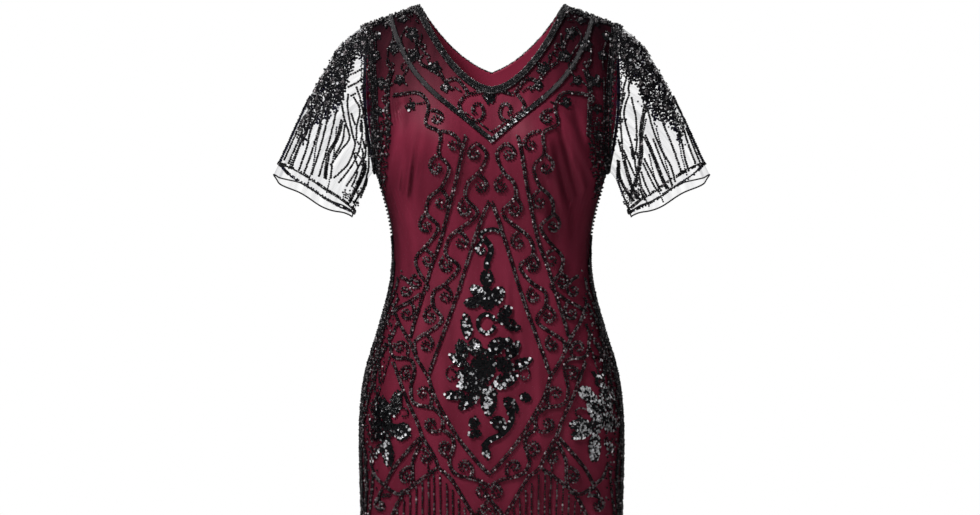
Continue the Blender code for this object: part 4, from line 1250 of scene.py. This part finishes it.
# the beadwork of the sleeves, set out on the front half by its places across and down
sleeveLook = {
    "hemAt": 0.922, "across": 0.062, "along": 0.170, "size": 0.0022, "pitch": 0.0033, "gap": 0.0030,
    "flowers": [  # x, z, radius
        (203, -29.6, 12), (218.7, -39.5, 12), (234.4, -51.2, 11), (207, -47, 10), (222.7, -57, 11), (238.4, -70.8, 12),
        (216.8, -70.8, 10), (250, -84.6, 12), (228.5, -84.6, 11), (260, -98.3, 11), (242.3, -100.3, 11),
        (267.8, -112, 10), (226.6, -104, 9), (234.4, -118, 10), (252, -122, 8), (265.8, -126, 8), (277.6, -131.7, 8),
        (250, -135.6, 8), (265.8, -141.5, 8), (279.6, -151.3, 8), (287.4, -161, 7.5), (291.3, -174.8, 6.5),
        (195, -45, 9)],
    "flowersLeft": [(203, -63, 9), (212, -80, 8), (204, -84, 7)],
    "linesLeft": [  # rows, places, on the front half
        (1, mm((203, -119), (196, -153), (199, -189), (201, -220))),
        (1, mm((209, -122), (202, -146), (206, -171), (217, -207), (222, -238))),
        (1, mm((213, -126), (220, -158), (222, -189), (220, -220), (226, -243), (230, -265))),
        (2, mm((234, -137), (228, -171), (229, -207), (226, -234), (220, -261))),
        (2, mm((232, -182), (242, -202), (253, -229), (263, -254), (269, -265))),
        (1, mm((236, -139), (246, -176), (259, -207), (272, -229), (280, -256))),
        (1, mm((251, -139), (259, -160), (270, -187), (281, -216), (290, -243))),
        (1, mm((271, -188), (278, -211), (285, -229), (293, -243))),
        (1, mm((284, -173), (291, -198), (295, -220), (301, -239))),
        (1, mm((293, -171), (301, -198), (312, -228))),
        (1, mm((298, -171), (308, -196), (320, -227))),
        (1, mm((194, -160), (200, -198), (213, -229), (225, -254), (238, -276))),
        (1, mm((227, -216), (238, -238), (249, -261), (256, -271))),
        (1, mm((233, -218), (246, -243), (260, -269))),
        (2, mm((195, -189), (203, -220), (209, -243), (217, -265), (226, -280))),
        (2, mm((194, -220), (197, -243), (205, -261), (219, -283))),
        (1, mm((205, -158), (211, -189), (215, -211), (223, -234), (228, -265), (236, -283))),
        (1, mm((199, -158), (197, -189), (207, -216), (217, -234))),
        (1, mm((246, -189), (258, -220), (270, -247), (276, -261))),
        (1, mm((219, -189), (224, -218), (233, -250), (244, -276))),
        (1, mm((208, -90), (202, -108), (198, -131), (195, -153))),
        (1, mm((215, -93), (208, -111), (211, -124)))],
    "linesRight": [
        (1, mm((289.5, -157.7), (302.1, -185.3), (318.5, -222.1))),
        (1, mm((283.2, -155.4), (291.8, -183), (311.3, -227.8))),
        (1, mm((274.5, -150.8), (283.7, -178.4), (294.1, -201.4), (305.6, -233.6))),
        (1, mm((265.3, -146.2), (276.8, -178.4), (281.4, -201.4), (294.1, -238.2))),
        (1, mm((255, -141.6), (263, -173.8), (274.5, -210.6), (286, -242.8))),
        (1, mm((246.9, -139.3), (252.7, -171.5), (261.9, -206), (274.5, -245))),
        (1, mm((236.6, -148.5), (244.6, -183), (252.7, -210.6), (264.2, -247.4))),
        (2, mm((227.4, -160), (235.4, -187.6), (249.2, -212.9), (255, -249.7))),
        (1, mm((228.5, -132.4), (223.9, -160), (217, -187.6), (231, -206), (246.9, -229))),
        (1, mm((218.2, -120.9), (219.3, -139.3), (214.7, -171.5), (208, -195))),
        (1, mm((210.1, -125.5), (200.9, -143.9), (205.5, -166.9), (207.8, -192.2), (219.3, -224.4), (242.3, -249))),
        (1, mm((198.6, -160), (197.5, -178.4), (203.2, -206), (214.7, -229), (235.4, -256))),
        (1, mm((205.5, -192.2), (196.3, -210.6), (205.5, -233.6), (223.9, -261))),
        (2, mm((194, -219.8), (196.3, -238.2), (210.1, -265.8), (219.3, -284.2))),
        (1, mm((192, -240), (200, -262), (213, -286))),
        (1, mm((200, -130), (193, -165), (192, -200), (198, -232), (207, -256))),
        (1, mm((206, -110), (197, -140), (200, -172), (194, -205), (200, -236), (209, -258))),
        (1, mm((214, -150), (206, -180), (211, -208), (205, -235), (215, -262))),
        (1, mm((190, -185), (188, -215), (194, -250), (204, -278))),
        (1, mm((223.9, -166.9), (228.5, -192.2), (242.3, -219.8), (246, -250))),
        (1, mm((218.7, -92.4), (206, -86.5), (196, -80))),
        (1, mm((218.7, -110), (207, -104.2), (196, -96.4))),
        (1, mm((214.8, -123.8), (201, -116), (192, -104))),
        (1, mm((222.7, -98.3), (226.6, -118), (224.6, -131)))],
    "bunch": mm((209, -268, 5), (218, -276, 6), (212, -284, 4.5), (226, -270, 4)),
    "armholeRows": (0.004, 0.022, 0.040, 0.058),
}
scanTurn, scanShare = (values.ravel() for values in np.meshgrid(np.linspace(0.0, np.pi, 160),
                                                                np.linspace(0.0, 1.0, 120)))
scanPoints = sleevePoint(scanTurn, scanShare)[:, [0, 2]]


def sleeveAt(path):
    # the turn and share under each place across and down, on the wearer's left sleeve
    nearest = np.array([np.argmin(((scanPoints - spot) ** 2).sum(1)) for spot in path])
    turn, share = scanTurn[nearest], scanShare[nearest]
    step, least = 0.01, 1e-4
    for _ in range(3):
        here = sleevePoint(turn, share)[:, [0, 2]]
        a = (sleevePoint(turn + step, share)[:, [0, 2]] - here) / step
        b = (sleevePoint(turn, share + step)[:, [0, 2]] - here) / step
        area = a[:, 0] * b[:, 1] - a[:, 1] * b[:, 0]
        flat = np.abs(area) < least
        area = np.where(flat, 1.0, area)
        off = path - here
        stepTurn = np.where(flat, 0.0, (off[:, 0] * b[:, 1] - off[:, 1] * b[:, 0]) / area)
        stepShare = np.where(flat, 0.0, (a[:, 0] * off[:, 1] - a[:, 1] * off[:, 0]) / area)
        turn = np.clip(turn + np.clip(stepTurn, -0.05, 0.05), 0.0, np.pi)
        share = np.clip(share + np.clip(stepShare, -0.02, 0.02), 0.01, 0.99)
    return np.stack([turn, share], -1)


def cuffEdge(name, turned):
    # the fine overlocked edge of the cuff
    rim = sleevePoint(np.linspace(0, 2 * np.pi, 181)[:-1], 0.995) * turned
    curve = bpy.data.curves.new(name, "CURVE")
    curve.dimensions = "3D"
    curve.bevel_depth = 0.0012
    curve.bevel_resolution = 1
    spline = curve.splines.new("POLY")
    spline.points.add(len(rim) - 1)
    spline.points.foreach_set("co", np.concatenate([rim, np.ones((len(rim), 1))], 1).reshape(-1))
    spline.use_cyclic_u = True
    curve.materials.append(edgeMaterial)
    edge = bpy.data.objects.new(name, curve)
    bpy.context.scene.collection.objects.link(edge)
    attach(edge, "root")


for mirror, name, petalSize in ((1, "left", 0.98), (-1, "right", 1.08)):
    place = onSleeve(mirror)
    beads = "beads_sleeve_" + name
    pitch, size, hemAt = sleeveLook["pitch"], sleeveLook["size"], sleeveLook["hemAt"]
    scale = np.array([sleeveLook["across"], sleeveLook["along"]])
    flowerTable = np.array(sleeveLook["flowers"] + (sleeveLook["flowersLeft"] if mirror > 0 else [])) / 1000
    flowerSpots, flowerSizes = sleeveAt(flowerTable[:, :2]), flowerTable[:, 2]
    lines = sleeveLook["linesLeft" if mirror > 0 else "linesRight"]
    lines = [(rows, sleeveAt(smoothPath(path, 0.006))) for rows, path in lines]

    def chart(spots):
        # flat patches on the sleeve: across is along the turn, down is along the share
        return place(np.stack([spots[:, 0] / scale[0], np.clip(spots[:, 1] / scale[1], 0.004, 0.996)], -1))

    for half in (1, -1):
        for (turn, share), radius in zip(flowerSpots, flowerSizes):
            if half < 0 and turn < 0.12:
                continue  # those by the shoulder already reach the back half
            x, z = half * turn * scale[0], share * scale[1]
            flower("sleeve_" + name, chart, x, z, radius * petalSize, petals=6, turn=chance.uniform(0, 6), glints=0.03,
                   wide=0.56, beads=5)
            scatter(beads, chart, chance.normal(0, radius * 0.62, (7, 2)) + [x, z], glint=0.06)
        for k, (rows, path) in enumerate(lines):
            if half < 0 and (k % 3 or path[-1, 1] < 0.7):
                continue  # fewer lines run down the back half
            shifted = path if half > 0 else np.stack([-(path[:, 0] + 0.10), path[:, 1]], -1)
            strand(beads, place, shifted, rows, pitch=pitch, gap=sleeveLook["gap"],
                   size=size * (1 if half > 0 else 0.8), lift=0.0015, glint=0.03)
        outerLine = np.stack([np.full(60, half * 0.035), np.linspace(0.56, hemAt, 60)], -1)
        strand(beads, place, outerLine, 1, pitch=pitch, size=size, lift=0.0010, glint=0.03)
    for x, z, radius in sleeveLook["bunch"]:
        spots = np.array([[x, z]]) + chance.normal(0, radius * 0.5, (60, 2))
        scatter(beads, place, sleeveAt(spots), lift=0.0020, glint=0.12)
    around = np.linspace(0, 2 * np.pi, 240)
    hemPath = np.stack([around, hemAt + 0.005 * np.sin(5 * around + 0.5)], -1)
    strand(beads, place, hemPath, rows=2, pitch=0.0030, gap=0.0022, size=0.0018, lift=0.0014, glint=0.04)
    for share in sleeveLook["armholeRows"]:  # the armhole's dense edge
        strand("beads_armhole_" + name, place, np.stack([around, share + 0 * around], -1), rows=1, pitch=0.0031,
               size=0.0017, lift=0.0022, glint=0.07, jitter=0.0005)
    cuffEdge("cuff_edge_" + name, flip if mirror < 0 else 1)
print("the sleeves' beadwork is laid out")

# meshes for the beads and sequins
bpy.ops.object.select_all(action="DESELECT")
bpy.ops.mesh.primitive_ico_sphere_add(subdivisions=1, radius=1.0, location=(0, 0, 0))
model = bpy.context.object
beadVerts = np.array([v.co[:] for v in model.data.vertices])
beadFaces = np.array([p.vertices[:] for p in model.data.polygons])
bpy.data.objects.remove(model)
rim = np.arange(8) * 2 * np.pi / 8
discVerts = np.concatenate([[[0, 0, -sequin["cup"] / sequin["radius"]]],
                            np.stack([np.cos(rim), np.sin(rim), 0 * rim], -1)])
discFaces = np.array([[0, 1 + k, 1 + (k + 1) % 8] for k in range(8)])
kinds = {  # how each kind is made, how far apart the pieces stay and how many one piece may hold
    "beads": {"shape": (beadVerts, beadFaces, beadMaterial, True), "apart": bead["apart"], "most": 9500},
    "sequins": {"shape": (discVerts, discFaces, sequinMaterial, False), "apart": sequin["apart"], "most": 25000},
}


def turnedFrames(normals, spin):
    # three axes for each bead, the third along its normal
    helper = np.where(np.abs(normals[:, 2:3]) < 0.9, [[0.0, 0.0, 1.0]], [[1.0, 0.0, 0.0]])
    first = unit(np.cross(helper, normals))
    second = np.cross(normals, first)
    c, s = np.cos(spin)[:, None], np.sin(spin)[:, None]
    return np.stack([first * c + second * s, second * c - first * s, normals], axis=-1)


def thinOut(places, apart):
    # leaves out what would sit inside a bead that is already there
    kept, cells = [], {}
    keys = np.floor(places / apart).astype(int)
    for i, (x, y, z) in enumerate(keys.tolist()):
        p = places[i]
        near = (cells.get((x + a, y + b, z + c), ()) for a in (-1, 0, 1) for b in (-1, 0, 1) for c in (-1, 0, 1))
        if all(((places[j] - p) ** 2).sum() > apart * apart for group in near for j in group):
            cells.setdefault((x, y, z), []).append(i)
            kept.append(i)
    return np.array(kept)


def manyMesh(name, places, normals, sizes, paintedGlints, verts, faces, material, smooth):
    count, n, m = len(places), len(verts), len(faces)
    frames = turnedFrames(normals, chance.uniform(0, 6.28, count))
    points = np.einsum("kij,nj->kni", frames, verts) * sizes[:, None, None] + places[:, None, :]
    loops = (faces[None] + (np.arange(count) * n)[:, None, None]).reshape(-1)
    mesh = bpy.data.meshes.new(name)
    mesh.vertices.add(count * n)
    mesh.vertices.foreach_set("co", points.reshape(-1).astype(np.float32))
    mesh.loops.add(len(loops))
    mesh.loops.foreach_set("vertex_index", loops.astype(np.int32))
    mesh.polygons.add(count * m)
    mesh.polygons.foreach_set("loop_start", np.arange(count * m, dtype=np.int32) * 3)
    mesh.polygons.foreach_set("use_smooth", np.full(count * m, smooth))
    paintedGlint = mesh.attributes.new("paintedGlint", "FLOAT", "POINT")
    paintedGlint.data.foreach_set("value", np.repeat(paintedGlints, n).astype(np.float32))
    mesh.materials.append(material)
    mesh.update(calc_edges=True)
    piece = bpy.data.objects.new(name, mesh)
    bpy.context.scene.collection.objects.link(piece)
    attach(piece, "root")
    return count * m


halves = {}  # the front and the back are thinned out apart
for name in banks:
    halves.setdefault("back" if "back" in name else "front", []).append(name)
total = 0
for names in halves.values():
    for kind, make in kinds.items():
        members = [name for name in names if banks[name]["kind"] == kind]
        joined = {key: [np.concatenate(banks[name][key]) for name in members] for key in fields}
        owner = np.concatenate([np.full(len(part), k) for k, part in enumerate(joined["places"])])
        places, normals, sizes, paintedGlints = (np.concatenate(joined[key]) for key in fields)
        kept = thinOut(places, make["apart"])
        for k, name in enumerate(members):
            mine = kept[owner[kept] == k]
            parts = -(-len(mine) // make["most"])
            for part in range(parts):
                some = mine[part::parts]
                label = name if parts == 1 else name + "_" + str(part + 1)
                total += manyMesh(label, places[some], unit(normals[some]), sizes[some], paintedGlints[some], *make["shape"])
            print(name, len(mine))
print("beads and sequins are made:", total, "triangles")

# camera, light and floor
stage = {
    "floor": (0.80, 0.80, 0.81), "floorRoughness": 0.6, "floorGlow": 0.45, "floorSide": 9.0, "floorDrop": 0.40,
    "eye": (-0.0025, -3.0, -0.3695), "sensor": 36.0, "seen": 1.519, "room": (0.85, 0.15),
    "lights": [  # name, place, aimed at, size, power
        ("key", (-0.92, -1.12, 1.02), (0, 0, -0.20), 0.4, 45),
        ("fill", (1.3, -2.4, -0.7), (0.1, 0, -0.55), 1.4, 7),
        ("rim", (0.3, 2.2, 2.4), (0, 0, -0.6), 1.8, 105)],
}
floorMaterial, shader = newMaterial("paleFloor", stage["floor"], stage["floorRoughness"])
tree = floorMaterial.node_tree  # a soft glow that only the eye sees keeps the floor pale from every side
glowNode, both, seen = (tree.nodes.new("ShaderNode" + kind) for kind in ("Emission", "AddShader", "LightPath"))
glowing = mathNode(tree, "MULTIPLY", seen.outputs["Is Camera Ray"], stage["floorGlow"])
tree.links.new(glowing, glowNode.inputs["Strength"])
tree.links.new(shader.outputs[0], both.inputs[0])
tree.links.new(glowNode.outputs[0], both.inputs[1])
tree.links.new(both.outputs[0], tree.nodes["Material Output"].inputs["Surface"])
bpy.ops.object.select_all(action="DESELECT")
bpy.ops.mesh.primitive_plane_add(size=1.0, location=(0, 0, 0))
floor = bpy.context.object
floor.name = "floor"
floor.data.transform(Matrix.Diagonal((stage["floorSide"], stage["floorSide"], 1.0, 1.0)))
for corner in floor.data.vertices:
    corner.co.z = cut["hemZ"] - stage["floorDrop"]
floor.data.materials.append(floorMaterial)
floor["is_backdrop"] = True

camera = bpy.data.objects.new("camera", bpy.data.cameras.new("camera"))
bpy.context.scene.collection.objects.link(camera)
camera.location = stage["eye"]
camera.rotation_euler = (math.radians(90), 0, 0)
camera.data.sensor_width = stage["sensor"]
camera.data.lens = stage["sensor"] * 3.0 / stage["seen"]  # the width seen at 3 m
bpy.context.scene.camera = camera

for name, spot, target, side, power in stage["lights"]:
    light = bpy.data.lights.new(name, "AREA")
    light.size = side
    light.energy = power
    lamp = bpy.data.objects.new(name, light)
    bpy.context.scene.collection.objects.link(lamp)
    lamp.location = spot
    lamp.rotation_euler = (Vector(spot) - Vector(target)).to_track_quat("Z", "Y").to_euler()

world = bpy.data.worlds.new("softRoom")
bpy.context.scene.world = world
world.use_nodes = True
tree = world.node_tree
background = tree.nodes["Background"]
seen = tree.nodes.new("ShaderNodeLightPath")
strength = mathNode(tree, "MULTIPLY_ADD", seen.outputs["Is Camera Ray"], *stage["room"])
tree.links.new(strength, background.inputs["Strength"])
background.inputs["Color"].default_value = (1.0, 1.0, 1.0, 1.0)
bpy.context.scene.view_settings.view_transform = "Standard"
print("camera, light and floor are set")

size = {"cad": [list(corner) for corner in cadBox], "visual": [list(corner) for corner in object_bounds()]}
